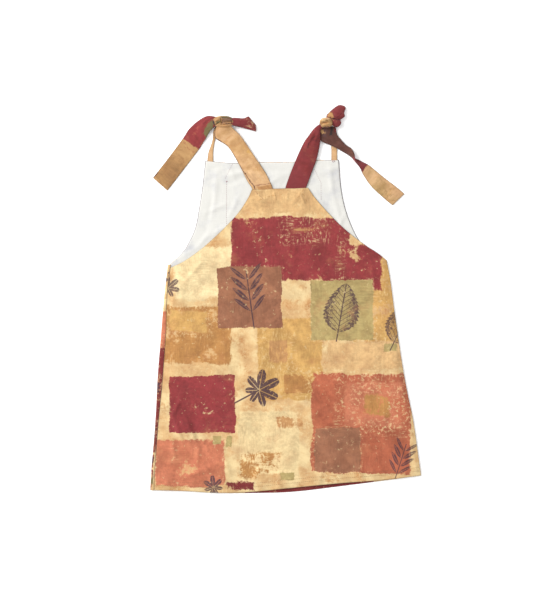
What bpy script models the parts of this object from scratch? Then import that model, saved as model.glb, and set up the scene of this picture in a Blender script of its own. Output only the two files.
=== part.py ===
"""Toddler's apron dress of printed cotton, laid flat on its back with the front facing up.

The frame is in metres: +X is the dress's right as seen from above, +Y points to the shoulders, +Z is up, and the
origin is on the surface that the dress lies on, under the middle of its outline. Tables are in millimetres.
"""
import math
from collections import namedtuple

import bmesh
import bpy
from mathutils import Vector

MM = 0.001

# Cloth and layers, in millimetres
CLOTH = 1.0
TURNED_TUBE = 1.6
FOLDED_TUBE = 2.4
NARROW_TUBE = 1.2
SEAM_GAP = 0.3
LAYER = CLOTH + SEAM_GAP
FOLD_RADIUS = (2 * LAYER + CLOTH) / 2
LINING_TOP = LAYER + CLOTH
FRONT_TOP = 2 * LAYER + CLOTH

# Driving places of the cut, in millimetres
HEM_LEFT_Y = -243.7
HEM_RIGHT_Y = -225.0
BACK_UNDERARM_LEFT_Y = 43.8
FRONT_UNDERARM_LEFT_Y = 39.8
UNDERARM_RIGHT_Y = 49.1
BIB_TOP_LEFT_Y = 139.7
BIB_TOP_RIGHT_Y = 141.6
BACK_TOP_LEFT_Y = 176.5
BACK_TOP_RIGHT_Y = 177.6

# Insets, in millimetres
LINING_INSET = 0.8
LINING_SEAM_INSET = 9.5
LINING_HEM_RISE = 12.0
RIGHT_SEAM_ROLL = 6.0
BACK_EDGE_INSET = 0.4
FOLD_FADE_AT_SEAM = 10.0

# Levels, which run from 0 at the hem to 1 at the underarms and 2 at a panel's top edge
ROLL_END_LEVEL = 1.12
LINING_OUT_LEVEL = 1.2

# How fast rows straighten above the hem and below the neck, and how close the rows above the underarms lie
HEM_BOW_POWER = 1.5
NECK_BOW_POWER = 3.0
BIB_ROW_POWER = 1.25
MERGE_DISTANCE = 0.01

EdgePoint = namedtuple("EdgePoint", "y x")
StripPoint = namedtuple("StripPoint", "y width")
SagPoint = namedtuple("SagPoint", "part drop")
Fold = namedtuple("Fold", "x y angle length width rise")
Row = namedtuple("Row", "x y z across width roll crown")
NumberedRow = namedtuple("NumberedRow", ("number",) + Row._fields)
Knot = namedtuple("Knot", "x y z half_x half_y half_z")
TiedPieces = namedtuple("TiedPieces", "strap tail short_loop back_loop")

LEFT_SIDE_FOLD = (
    EdgePoint(y=-243.7, x=-172.7),
    EdgePoint(y=-215.0, x=-171.1),
    EdgePoint(y=-180.0, x=-168.0),
    EdgePoint(y=-144.0, x=-165.4),
    EdgePoint(y=-102.0, x=-163.4),
    EdgePoint(y=-54.0, x=-159.6),
    EdgePoint(y=-12.0, x=-156.2),
    EdgePoint(y=18.0, x=-153.3),
    EdgePoint(y=43.8, x=-150.2),
)
LEFT_SEAM_STRIP = (
    StripPoint(y=-243.7, width=4.7),
    StripPoint(y=-195.0, width=3.9),
    StripPoint(y=-150.0, width=4.1),
    StripPoint(y=-105.0, width=6.3),
    StripPoint(y=-40.0, width=5.7),
    StripPoint(y=-10.0, width=3.9),
    StripPoint(y=22.0, width=3.2),
    StripPoint(y=43.8, width=3.6),
)
RIGHT_SIDE_SEAM = (
    EdgePoint(y=-225.0, x=172.7),
    EdgePoint(y=-205.0, x=169.8),
    EdgePoint(y=-157.0, x=163.0),
    EdgePoint(y=-115.0, x=154.4),
    EdgePoint(y=-78.0, x=147.8),
    EdgePoint(y=-24.0, x=139.9),
    EdgePoint(y=28.0, x=132.8),
    EdgePoint(y=49.1, x=128.8),
)
FRONT_LEFT_ARMHOLE = (
    EdgePoint(y=39.8, x=-146.6),
    EdgePoint(y=47.7, x=-130.1),
    EdgePoint(y=63.3, x=-108.0),
    EdgePoint(y=76.6, x=-92.7),
    EdgePoint(y=90.6, x=-78.0),
    EdgePoint(y=109.1, x=-60.8),
    EdgePoint(y=128.4, x=-48.0),
    EdgePoint(y=139.7, x=-42.9),
)
FRONT_RIGHT_ARMHOLE = (
    EdgePoint(y=49.1, x=128.8),
    EdgePoint(y=58.1, x=117.6),
    EdgePoint(y=67.2, x=103.4),
    EdgePoint(y=81.7, x=83.9),
    EdgePoint(y=93.1, x=70.6),
    EdgePoint(y=109.1, x=54.7),
    EdgePoint(y=128.4, x=37.7),
    EdgePoint(y=141.6, x=28.5),
)
BACK_LEFT_ARMHOLE = (
    EdgePoint(y=43.8, x=-148.4),
    EdgePoint(y=56.8, x=-134.0),
    EdgePoint(y=67.2, x=-126.3),
    EdgePoint(y=89.3, x=-115.8),
    EdgePoint(y=116.9, x=-110.3),
    EdgePoint(y=141.3, x=-106.5),
    EdgePoint(y=176.5, x=-102.5),
)
BACK_RIGHT_ARMHOLE = (
    EdgePoint(y=49.1, x=128.4),
    EdgePoint(y=59.3, x=110.2),
    EdgePoint(y=74.0, x=94.4),
    EdgePoint(y=94.4, x=83.6),
    EdgePoint(y=116.9, x=75.7),
    EdgePoint(y=143.3, x=70.6),
    EdgePoint(y=177.6, x=67.9),
)

# Drops below the straight line between two corners, against the part of the way from left to right
FRONT_HEM_SAG = (
    SagPoint(part=0.00, drop=0.0),
    SagPoint(part=0.11, drop=3.0),
    SagPoint(part=0.23, drop=7.5),
    SagPoint(part=0.37, drop=8.7),
    SagPoint(part=0.50, drop=6.9),
    SagPoint(part=0.70, drop=4.0),
    SagPoint(part=0.85, drop=3.0),
    SagPoint(part=1.00, drop=0.0),
)
BACK_HEM_SAG = (
    SagPoint(part=0.00, drop=0.0),
    SagPoint(part=0.12, drop=3.3),
    SagPoint(part=0.24, drop=8.1),
    SagPoint(part=0.38, drop=10.8),
    SagPoint(part=0.52, drop=12.0),
    SagPoint(part=0.72, drop=7.7),
    SagPoint(part=0.92, drop=2.5),
    SagPoint(part=1.00, drop=0.0),
)
BACK_NECK_DIP = (
    SagPoint(part=0.00, drop=0.0),
    SagPoint(part=0.21, drop=3.2),
    SagPoint(part=0.42, drop=2.3),
    SagPoint(part=0.63, drop=2.3),
    SagPoint(part=0.84, drop=0.2),
    SagPoint(part=1.00, drop=0.0),
)
STRAIGHT = (SagPoint(part=0.0, drop=0.0), SagPoint(part=1.0, drop=0.0))

# Soft folds of the front: middle, direction in degrees, length, width and rise above the flat cloth
FRONT_FOLDS = (
    Fold(x=-121.0, y=-178.0, angle=-54.0, length=50.0, width=9.0, rise=1.0),
    Fold(x=-142.0, y=-205.0, angle=72.0, length=80.0, width=13.0, rise=1.3),
    Fold(x=-84.0, y=-222.0, angle=98.0, length=60.0, width=16.0, rise=1.6),
    Fold(x=-34.0, y=-226.0, angle=84.0, length=50.0, width=15.0, rise=1.2),
    Fold(x=62.0, y=-205.0, angle=95.0, length=70.0, width=18.0, rise=1.1),
    Fold(x=138.0, y=-196.0, angle=103.0, length=80.0, width=14.0, rise=1.3),
    Fold(x=136.0, y=-60.0, angle=100.0, length=110.0, width=12.0, rise=1.2),
    Fold(x=-138.0, y=-40.0, angle=84.0, length=120.0, width=13.0, rise=1.1),
    Fold(x=-88.0, y=40.0, angle=32.0, length=70.0, width=12.0, rise=0.9),
    Fold(x=84.0, y=44.0, angle=148.0, length=70.0, width=12.0, rise=0.9),
    Fold(x=-20.0, y=-20.0, angle=80.0, length=150.0, width=26.0, rise=0.8),
    Fold(x=40.0, y=60.0, angle=100.0, length=90.0, width=20.0, rise=0.7),
)

# Straps: middle of each section, height of its middle surface, direction across, width, roll and crown
LEFT_STRAP = (
    Row(x=-29.6, y=140.6, z=3.4, across=1.5, width=26.3, roll=0, crown=0.0),
    Row(x=-38.3, y=157.2, z=3.4, across=23.0, width=25.4, roll=0, crown=0.3),
    Row(x=-50.9, y=178.8, z=3.5, across=26.0, width=22.3, roll=0, crown=0.5),
    Row(x=-65.3, y=200.5, z=3.7, across=38.0, width=21.4, roll=0, crown=0.8),
    Row(x=-77.6, y=210.4, z=4.2, across=24.0, width=26.4, roll=0, crown=1.0),
    Row(x=-78.2, y=217.0, z=4.7, across=4.0, width=21.6, roll=0, crown=1.0),
    Row(x=-79.0, y=223.5, z=5.0, across=0.0, width=14.0, roll=0, crown=0.6),
)
RIGHT_STRAP = (
    Row(x=13.0, y=141.9, z=3.4, across=1.5, width=26.6, roll=0, crown=0.0),
    Row(x=20.1, y=161.9, z=3.4, across=-16.0, width=25.0, roll=0, crown=0.3),
    Row(x=27.4, y=180.2, z=3.6, across=-19.0, width=24.4, roll=0, crown=0.8),
    Row(x=33.2, y=196.4, z=4.0, across=-19.0, width=20.6, roll=0, crown=1.4),
    Row(x=36.9, y=206.4, z=4.6, across=-16.0, width=15.2, roll=0, crown=2.0),
    Row(x=41.2, y=216.8, z=5.0, across=-31.0, width=7.6, roll=0, crown=1.4),
    Row(x=48.5, y=222.4, z=5.4, across=-45.0, width=5.0, roll=0, crown=0.6),
)
LEFT_LONG_TAIL = (
    Row(x=-86.0, y=226.0, z=5.2, across=88.0, width=8.0, roll=0, crown=0.6),
    Row(x=-92.8, y=224.6, z=4.2, across=87.0, width=16.0, roll=0, crown=1.4),
    Row(x=-101.0, y=220.7, z=2.7, across=100.0, width=23.2, roll=0, crown=1.0),
    Row(x=-113.4, y=208.8, z=1.2, across=133.0, width=25.2, roll=0, crown=0.4),
    Row(x=-121.0, y=197.5, z=0.8, across=143.0, width=24.8, roll=0, crown=0.0),
    Row(x=-139.9, y=172.3, z=0.8, across=141.5, width=24.5, roll=0, crown=0.0),
    Row(x=-160.1, y=146.3, z=0.8, across=138.5, width=24.7, roll=0, crown=0.0),
)
RIGHT_LONG_TAIL = (
    Row(x=53.9, y=219.6, z=2.5, across=0.0, width=19.6, roll=0, crown=0.2),
    Row(x=54.7, y=210.0, z=2.4, across=-2.0, width=22.0, roll=0, crown=0.8),
    Row(x=57.9, y=202.2, z=2.4, across=4.0, width=25.8, roll=0, crown=1.0),
    Row(x=66.8, y=196.1, z=2.7, across=1.0, width=20.4, roll=0, crown=1.0),
    Row(x=74.0, y=192.3, z=3.0, across=8.0, width=15.4, roll=4, crown=0.8),
    Row(x=80.6, y=187.4, z=3.4, across=22.0, width=10.0, roll=34, crown=0.4),
    Row(x=85.6, y=182.4, z=3.6, across=40.0, width=7.0, roll=70, crown=0.2),
    Row(x=90.4, y=176.1, z=3.6, across=56.0, width=7.0, roll=112, crown=-0.2),
    Row(x=97.2, y=170.1, z=2.8, across=58.0, width=10.6, roll=150, crown=-0.4),
    Row(x=102.8, y=164.2, z=2.0, across=54.0, width=14.6, roll=170, crown=-0.4),
    Row(x=116.2, y=150.0, z=0.9, across=46.0, width=19.2, roll=180, crown=0.0),
    Row(x=134.0, y=135.0, z=0.8, across=46.0, width=21.4, roll=180, crown=0.0),
    Row(x=143.9, y=126.7, z=0.8, across=44.0, width=21.2, roll=180, crown=0.0),
)
LEFT_SHORT_LOOP = (
    Row(x=-75.0, y=225.8, z=6.2, across=90.0, width=6.0, roll=0, crown=0.4),
    Row(x=-65.2, y=225.3, z=5.2, across=90.0, width=10.4, roll=0, crown=1.6),
    Row(x=-55.2, y=224.2, z=3.8, across=76.0, width=12.2, roll=0, crown=1.8),
    Row(x=-46.9, y=224.1, z=2.6, across=92.0, width=17.0, roll=0, crown=1.4),
    Row(x=-40.2, y=219.9, z=1.9, across=107.0, width=13.6, roll=0, crown=0.6),
    Row(x=-37.7, y=217.6, z=1.6, across=92.0, width=8.0, roll=0, crown=0.2),
)
RIGHT_SHORT_LOOP = (
    Row(x=54.0, y=225.6, z=6.2, across=-52.0, width=9.0, roll=0, crown=0.4),
    Row(x=58.8, y=225.9, z=6.0, across=-48.8, width=20.3, roll=0, crown=1.4),
    Row(x=62.5, y=229.9, z=5.6, across=-39.4, width=20.8, roll=0, crown=2.0),
    Row(x=63.5, y=233.6, z=5.0, across=-39.7, width=16.9, roll=0, crown=1.0),
    Row(x=67.3, y=236.7, z=4.6, across=-30.6, width=18.2, roll=0, crown=2.0),
    Row(x=68.8, y=240.8, z=3.8, across=-31.0, width=13.5, roll=0, crown=1.8),
    Row(x=71.5, y=244.8, z=2.9, across=-20.0, width=10.6, roll=0, crown=0.8),
    Row(x=72.1, y=246.7, z=2.2, across=-13.5, width=6.0, roll=0, crown=0.2),
)
LEFT_BACK_LOOP = (
    Row(x=-96.1, y=176.8, z=0.6, across=-5.0, width=7.4, roll=0, crown=0.0),
    Row(x=-95.4, y=187.5, z=0.6, across=4.0, width=6.2, roll=0, crown=0.0),
    Row(x=-93.2, y=196.6, z=0.6, across=12.0, width=4.2, roll=0, crown=0.0),
    Row(x=-91.4, y=204.4, z=0.6, across=10.0, width=3.4, roll=0, crown=0.0),
    Row(x=-90.4, y=214.4, z=0.6, across=6.0, width=3.4, roll=0, crown=0.0),
    Row(x=-86.0, y=222.0, z=0.6, across=16.0, width=3.6, roll=0, crown=0.0),
)
RIGHT_BACK_LOOP = (
    Row(x=61.9, y=177.9, z=0.6, across=0.5, width=7.5, roll=0, crown=0.0),
    Row(x=61.9, y=190.0, z=0.6, across=1.0, width=7.4, roll=0, crown=0.0),
    Row(x=60.8, y=200.0, z=0.6, across=6.0, width=7.0, roll=0, crown=0.0),
    Row(x=58.4, y=211.0, z=0.6, across=12.0, width=6.2, roll=0, crown=0.0),
    Row(x=54.5, y=221.0, z=0.6, across=14.0, width=5.6, roll=0, crown=0.0),
)
LEFT_KNOT = Knot(x=-79.4, y=225.6, z=5.0, half_x=13.5, half_y=7.4, half_z=5.8)
RIGHT_KNOT = Knot(x=51.2, y=224.0, z=5.8, half_x=8.3, half_y=6.6, half_z=6.6)
KNOT_SQUARENESS = 0.86
KNOT_FOLDS = 3
KNOT_FOLD_DEPTH = 0.5
TIED_PIECES = {
    "left": TiedPieces(LEFT_STRAP, LEFT_LONG_TAIL, LEFT_SHORT_LOOP, LEFT_BACK_LOOP),
    "right": TiedPieces(RIGHT_STRAP, RIGHT_LONG_TAIL, RIGHT_SHORT_LOOP, RIGHT_BACK_LOOP),
}

# Grid sizes
SKIRT_ROWS = 16
BIB_ROWS = 14
FRONT_COLUMNS = 20
ROLL_COLUMNS = 3
BACK_COLUMNS = 10
LINING_COLUMNS = 8
WRAP_ARC_STEPS = 4
STRAP_STEPS_PER_ROW = 3
STRAP_COLUMNS = 6
LOOP_COLUMNS = 2
KNOT_SEGMENTS = 20
KNOT_RINGS = 14

CREAM_PRINT = (0.93, 0.70, 0.40)
CRIMSON_PRINT = (0.36, 0.06, 0.07)
TAN_PRINT = (0.72, 0.44, 0.20)
OFF_WHITE = (0.84, 0.83, 0.80)
COTTON_ROUGHNESS = 0.85


def clear_scene():
    for thing in list(bpy.data.objects):
        bpy.data.objects.remove(thing, do_unlink=True)


def cotton(name, colour):
    material = bpy.data.materials.new(name)
    material.use_nodes = True
    shader = material.node_tree.nodes["Principled BSDF"]
    shader.inputs["Base Color"].default_value = (*colour, 1.0)
    shader.inputs["Roughness"].default_value = COTTON_ROUGHNESS
    shader.inputs["Metallic"].default_value = 0.0
    return material


def smooth_between(start, end, value):
    """0 at start, 1 at end, level at both."""
    part = min(max((value - start) / (end - start), 0.0), 1.0)
    return part * part * (3.0 - 2.0 * part)


def table_slope(table, index, along, column):
    before = table[max(index - 1, 0)]
    after = table[min(index + 1, len(table) - 1)]
    run = getattr(after, along) - getattr(before, along)
    return (getattr(after, column) - getattr(before, column)) / run


def read_table(table, along, column, value):
    """The column's value on the smooth curve through the table's rows."""
    last = len(table) - 2
    index = 0
    while index < last and value > getattr(table[index + 1], along):
        index += 1
    start, end = table[index], table[index + 1]
    run = getattr(end, along) - getattr(start, along)
    t = min(max((value - getattr(start, along)) / run, 0.0), 1.0)
    rise_start = table_slope(table, index, along, column) * run
    rise_end = table_slope(table, index + 1, along, column) * run
    return (
        (2 * t**3 - 3 * t**2 + 1) * getattr(start, column)
        + (t**3 - 2 * t**2 + t) * rise_start
        + (3 * t**2 - 2 * t**3) * getattr(end, column)
        + (t**3 - t**2) * rise_end
    )


def edge_x(table, y):
    return read_table(table, "y", "x", y)


def seam_strip(y):
    return read_table(LEFT_SEAM_STRIP, "y", "width", y)


def level_of_row(row):
    """0 at the hem, 1 at the underarms and 2 at the top edge, with closer rows above the underarms."""
    if row <= SKIRT_ROWS:
        return row / SKIRT_ROWS
    return 1.0 + ((row - SKIRT_ROWS) / BIB_ROWS) ** BIB_ROW_POWER


def mix(start, end, part):
    return start + (end - start) * part


def side_y(level, hem_y, underarm_y, top_y):
    if level <= 1.0:
        return mix(hem_y, underarm_y, level)
    return mix(underarm_y, top_y, level - 1.0)


def row_point(left, right, part, level, hem_sag, top_dip):
    """A point of a panel's row, which bows with the hem below and with the neck edge above."""
    x = mix(left[0], right[0], part)
    y = mix(left[1], right[1], part)
    y -= read_table(hem_sag, "part", "drop", part) * max(1.0 - level, 0.0) ** HEM_BOW_POWER
    y -= read_table(top_dip, "part", "drop", part) * max(level - 1.0, 0.0) ** NECK_BOW_POWER
    return x, y


def front_edges(level):
    left_y = side_y(level, HEM_LEFT_Y, FRONT_UNDERARM_LEFT_Y, BIB_TOP_LEFT_Y)
    right_y = side_y(level, HEM_RIGHT_Y, UNDERARM_RIGHT_Y, BIB_TOP_RIGHT_Y)
    if level <= 1.0:
        left_x = edge_x(LEFT_SIDE_FOLD, left_y) + seam_strip(left_y) + SEAM_GAP
        return (left_x, left_y), (edge_x(RIGHT_SIDE_SEAM, right_y), right_y)
    left_x = edge_x(FRONT_LEFT_ARMHOLE, left_y)
    return (left_x, left_y), (edge_x(FRONT_RIGHT_ARMHOLE, right_y), right_y)


def back_edges(level):
    left_y = side_y(level, HEM_LEFT_Y, BACK_UNDERARM_LEFT_Y, BACK_TOP_LEFT_Y)
    right_y = side_y(level, HEM_RIGHT_Y, UNDERARM_RIGHT_Y, BACK_TOP_RIGHT_Y)
    if level <= 1.0:
        left_x = edge_x(LEFT_SIDE_FOLD, left_y) + FOLD_RADIUS
        right_x = edge_x(RIGHT_SIDE_SEAM, right_y) - BACK_EDGE_INSET
        return (left_x, left_y), (right_x, right_y)
    left_x = edge_x(BACK_LEFT_ARMHOLE, left_y)
    return (left_x, left_y), (edge_x(BACK_RIGHT_ARMHOLE, right_y), right_y)


def lining_edges(level):
    """The back's edges, drawn in; farther at the right side seam, where the front comes down to the back."""
    (left_x, left_y), (right_x, right_y) = back_edges(level)
    out_to_edge = smooth_between(ROLL_END_LEVEL, LINING_OUT_LEVEL, level)
    right_inset = mix(LINING_SEAM_INSET, LINING_INSET, out_to_edge)
    rise = LINING_HEM_RISE * max(1.0 - level, 0.0) ** HEM_BOW_POWER
    drop = LINING_INSET * max(level - 1.0, 0.0) ** NECK_BOW_POWER
    return (left_x + LINING_INSET, left_y + rise - drop), (right_x - right_inset, right_y + rise - drop)


def fold_rise(x, y):
    """How far the front's soft folds lift it at a point."""
    rise = 0.0
    for fold in FRONT_FOLDS:
        angle = math.radians(fold.angle)
        along = (x - fold.x) * math.cos(angle) + (y - fold.y) * math.sin(angle)
        across = (y - fold.y) * math.cos(angle) - (x - fold.x) * math.sin(angle)
        reach = (along / fold.length) ** 2 + (across / fold.width) ** 2
        rise += fold.rise * math.exp(-2.0 * reach)
    return rise


def front_height(x, y, level, right_x):
    """Height of the front's upper face: soft folds, and a roll down to the back at the right side seam."""
    roll = 1.0 - smooth_between(0.0, RIGHT_SEAM_ROLL, right_x - x)
    roll *= 1.0 - smooth_between(1.0, ROLL_END_LEVEL, level)
    top = FRONT_TOP + fold_rise(x, y) * smooth_between(0.0, FOLD_FADE_AT_SEAM, right_x - x)
    return mix(top, FRONT_TOP - LAYER, roll)


def front_part(column, row_width):
    """The part of the way across at a column; the last few columns lie close, in the roll at the right seam."""
    roll_part = RIGHT_SEAM_ROLL / row_width
    if column <= FRONT_COLUMNS:
        return (1.0 - roll_part) * column / FRONT_COLUMNS
    return 1.0 - roll_part * (1.0 - (column - FRONT_COLUMNS) / ROLL_COLUMNS)


def add_solidify(thing, thickness, offset):
    wall = thing.modifiers.new("cloth wall", "SOLIDIFY")
    wall.thickness = thickness * MM
    wall.offset = offset
    wall.use_even_offset = True


def finish_object(mesh_builder, name, material, collection):
    mesh = bpy.data.meshes.new(name)
    mesh_builder.to_mesh(mesh)
    mesh_builder.free()
    mesh.shade_smooth()
    mesh.materials.append(material)
    thing = bpy.data.objects.new(name, mesh)
    collection.objects.link(thing)
    return thing


def place_grid_points(mesh_builder, points, place):
    for point in points:
        point.co = Vector(place(point.co.x + 0.5, point.co.y + 0.5)) * MM


def front_panel(collection):
    rows = SKIRT_ROWS + BIB_ROWS
    columns = FRONT_COLUMNS + ROLL_COLUMNS

    def place(across, height):
        level = level_of_row(round(height * rows))
        left, right = front_edges(level)
        part = front_part(round(across * columns), right[0] - left[0])
        x, y = row_point(left, right, part, level, FRONT_HEM_SAG, STRAIGHT)
        return x, y, front_height(x, y, level, right[0])

    cloth = bmesh.new()
    grid = bmesh.ops.create_grid(cloth, x_segments=columns, y_segments=rows, size=0.5)
    place_grid_points(cloth, grid["verts"], place)
    panel = finish_object(cloth, "front_panel", cotton("front print", CREAM_PRINT), collection)
    add_solidify(panel, CLOTH, -1.0)


def back_panel(collection):
    """The back lies flat, and its left side turns over the fold onto the top as a narrow strip."""
    rows = SKIRT_ROWS + BIB_ROWS
    wrap_steps = WRAP_ARC_STEPS + 1

    def place_flat(part, height):
        level = level_of_row(round(height * rows))
        left, right = back_edges(level)
        x, y = row_point(left, right, part, level, BACK_HEM_SAG, BACK_NECK_DIP)
        return x, y, 0.0

    def place_wrap(part, height):
        step = round(part * wrap_steps)
        y = mix(HEM_LEFT_Y, BACK_UNDERARM_LEFT_Y, height)
        fold_x = edge_x(LEFT_SIDE_FOLD, y)
        if step == 0:
            return fold_x + seam_strip(y), y, 2 * FOLD_RADIUS
        turn = math.pi * (step - 1) / WRAP_ARC_STEPS
        x = fold_x + FOLD_RADIUS - FOLD_RADIUS * math.sin(turn)
        return x, y, FOLD_RADIUS + FOLD_RADIUS * math.cos(turn)

    cloth = bmesh.new()
    flat = bmesh.ops.create_grid(cloth, x_segments=BACK_COLUMNS, y_segments=rows, size=0.5)
    place_grid_points(cloth, flat["verts"], place_flat)
    wrap = bmesh.ops.create_grid(cloth, x_segments=wrap_steps, y_segments=SKIRT_ROWS, size=0.5)
    place_grid_points(cloth, wrap["verts"], place_wrap)
    bmesh.ops.remove_doubles(cloth, verts=cloth.verts[:], dist=MERGE_DISTANCE * MM)
    bmesh.ops.reverse_faces(cloth, faces=cloth.faces[:])
    panel = finish_object(cloth, "back_panel", cotton("back print", CRIMSON_PRINT), collection)
    add_solidify(panel, CLOTH, -1.0)


def back_lining(collection):
    rows = SKIRT_ROWS + BIB_ROWS

    def place(part, height):
        level = level_of_row(round(height * rows))
        left, right = lining_edges(level)
        x, y = row_point(left, right, part, level, BACK_HEM_SAG, BACK_NECK_DIP)
        return x, y, LINING_TOP

    cloth = bmesh.new()
    grid = bmesh.ops.create_grid(cloth, x_segments=LINING_COLUMNS, y_segments=rows, size=0.5)
    place_grid_points(cloth, grid["verts"], place)
    lining = finish_object(cloth, "back_lining", cotton("lining", OFF_WHITE), collection)
    add_solidify(lining, CLOTH, -1.0)


def ribbon_point(rows, part, across_part, lowest):
    """A point on a strap's middle surface, on the smooth curve through its sections."""
    numbered = [NumberedRow(index, *row) for index, row in enumerate(rows)]
    at = part * (len(rows) - 1)
    section = Row(*(read_table(numbered, "number", column, at) for column in Row._fields))
    angle = math.radians(section.across)
    roll = math.radians(section.roll)
    offset = (across_part - 0.5) * section.width
    crown = section.crown * (1.0 - (2.0 * across_part - 1.0) ** 2)
    level_offset = offset * math.cos(roll) - crown * math.sin(roll)
    rise = offset * math.sin(roll) + crown * math.cos(roll)
    x = section.x + level_offset * math.cos(angle)
    y = section.y + level_offset * math.sin(angle)
    return x, y, max(section.z + rise, lowest)


def ribbon(name, rows, thickness, columns, colour, collection, knot=None):
    steps = (len(rows) - 1) * STRAP_STEPS_PER_ROW

    def place(part, height):
        return ribbon_point(rows, height, part, thickness / 2)

    cloth = bmesh.new()
    grid = bmesh.ops.create_grid(cloth, x_segments=columns, y_segments=steps, size=0.5)
    place_grid_points(cloth, grid["verts"], place)
    strap = finish_object(cloth, name, cotton(name.replace("_", " "), colour), collection)
    add_solidify(strap, thickness, 0.0)
    if knot:
        cut = strap.modifiers.new("room for the knot", "BOOLEAN")
        cut.operation = "DIFFERENCE"
        cut.solver = "EXACT"
        cut.object = knot


def squared(value):
    return math.copysign(abs(value) ** KNOT_SQUARENESS, value)


def knot_fold(point):
    """The folds of the wrapped cloth, which run along the knot over its top."""
    return KNOT_FOLD_DEPTH * math.cos(math.pi * KNOT_FOLDS * point.y) * max(point.z, 0.0)


def knot_form(name, knot, margin, material, collection):
    """A rounded lump of wrapped cloth, flat where it rests on the surface."""
    form = bmesh.new()
    bmesh.ops.create_uvsphere(form, u_segments=KNOT_SEGMENTS, v_segments=KNOT_RINGS, radius=1.0)
    for point in form.verts:
        x = knot.x + squared(point.co.x) * (knot.half_x + margin)
        y = knot.y + squared(point.co.y) * (knot.half_y + margin)
        z = knot.z + squared(point.co.z) * (knot.half_z + margin) + knot_fold(point.co)
        point.co = Vector((x, y, z)) * MM
    everything = form.verts[:] + form.edges[:] + form.faces[:]
    cut = bmesh.ops.bisect_plane(
        form, geom=everything, plane_co=(0, 0, -margin * MM), plane_no=(0, 0, -1), clear_outer=True
    )
    rim = [piece for piece in cut["geom_cut"] if isinstance(piece, bmesh.types.BMEdge)]
    bmesh.ops.holes_fill(form, edges=rim, sides=0)
    bmesh.ops.triangulate(form, faces=form.faces[:])
    bmesh.ops.recalc_face_normals(form, faces=form.faces[:])
    return finish_object(form, name, material, collection)


def tied_side(side, knot, colour, tail_colour, collection, cutters):
    knot_form(f"{side}_knot", knot, 0.0, cotton(f"{side} knot", tail_colour), collection)
    room = knot_form(f"{side}_knot_room", knot, SEAM_GAP, cotton("cutter", tail_colour), cutters)
    room.hide_render = True
    room.display_type = "WIRE"
    pieces = TIED_PIECES[side]
    ribbon(f"{side}_front_strap", pieces.strap, TURNED_TUBE, STRAP_COLUMNS, colour, collection, room)
    ribbon(f"{side}_long_tail", pieces.tail, TURNED_TUBE, STRAP_COLUMNS, tail_colour, collection, room)
    ribbon(f"{side}_short_loop", pieces.short_loop, FOLDED_TUBE, STRAP_COLUMNS, CRIMSON_PRINT, collection, room)
    ribbon(f"{side}_back_loop", pieces.back_loop, NARROW_TUBE, LOOP_COLUMNS, TAN_PRINT, collection, room)


def new_collection(name):
    collection = bpy.data.collections.new(name)
    bpy.context.scene.collection.children.link(collection)
    return collection


def main():
    clear_scene()
    dress = new_collection("apron dress")
    cutters = new_collection("cutters")
    back_panel(dress)
    back_lining(dress)
    front_panel(dress)
    tied_side("left", LEFT_KNOT, TAN_PRINT, TAN_PRINT, dress, cutters)
    tied_side("right", RIGHT_KNOT, CRIMSON_PRINT, TAN_PRINT, dress, cutters)


main()
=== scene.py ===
import math
from collections import namedtuple

import bmesh
import bpy
from mathutils import Matrix, Vector


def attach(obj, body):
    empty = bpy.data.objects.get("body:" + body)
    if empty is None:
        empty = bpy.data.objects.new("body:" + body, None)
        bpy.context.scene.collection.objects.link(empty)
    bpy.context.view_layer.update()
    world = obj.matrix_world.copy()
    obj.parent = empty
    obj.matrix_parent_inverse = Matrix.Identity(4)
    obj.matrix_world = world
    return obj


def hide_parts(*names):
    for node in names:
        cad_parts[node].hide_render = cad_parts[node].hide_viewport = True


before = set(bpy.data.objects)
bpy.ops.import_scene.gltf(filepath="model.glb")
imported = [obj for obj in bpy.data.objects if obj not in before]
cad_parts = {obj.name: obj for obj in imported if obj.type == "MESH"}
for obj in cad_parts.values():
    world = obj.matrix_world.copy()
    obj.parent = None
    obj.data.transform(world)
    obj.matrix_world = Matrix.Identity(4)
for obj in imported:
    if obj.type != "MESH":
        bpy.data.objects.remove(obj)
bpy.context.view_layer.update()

# Toddler's apron dress of printed cotton, laid flat on its back: cloth, sewing, finishes and studio.
# Sizes and tables are in millimetres and degrees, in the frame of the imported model.

MM = 0.001
BODY = "root"
CUT = "flat cut"
EDGE = "distance to edge"
TAN_SLOT = "tan_print"
CRIMSON_SLOT = "crimson_print"

# Cloth and layers
LAYER = 1.3
CAD_CLOTH = 1.0
CLOTH = 0.8
CLOTH_EDGE_ROUND = 0.25
TUBE_WALL = 0.35
TURNED_TUBE = 1.6
FOLDED_TUBE = 2.4
NARROW_TUBE = 1.2
SEAM_GAP = 0.3
FOLD_RADIUS = (2 * LAYER + CAD_CLOTH) / 2
LINING_TOP = LAYER + CAD_CLOTH
FRONT_TOP = 2 * LAYER + CAD_CLOTH

HEM_LEFT_Y = -243.7
HEM_RIGHT_Y = -225.0
BACK_UNDERARM_LEFT_Y = 43.8
FRONT_UNDERARM_LEFT_Y = 39.8
UNDERARM_RIGHT_Y = 49.1
BIB_TOP_LEFT_Y = 139.7
BIB_TOP_RIGHT_Y = 141.6
BACK_TOP_LEFT_Y = 176.5
BACK_TOP_RIGHT_Y = 177.6

LINING_INSET = 0.8
LINING_SEAM_INSET = 9.5
LINING_HEM_RISE = 12.0
RIGHT_SEAM_ROLL = 6.0
BACK_EDGE_INSET = 0.4
FOLD_FADE_AT_SEAM = 10.0
HEM_DEPTH = 11.6
HEM_STEP = 0.25
HEM_STEP_WIDTH = 1.6
HEM_DROOP = 0.9
HEM_DROOP_WIDTH = 9.0
LEAST_FRONT_TOP = FRONT_TOP - 0.3
LINING_FOLD_STRENGTH = 1.8
LEAST_LINING_RISE = -0.5

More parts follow.
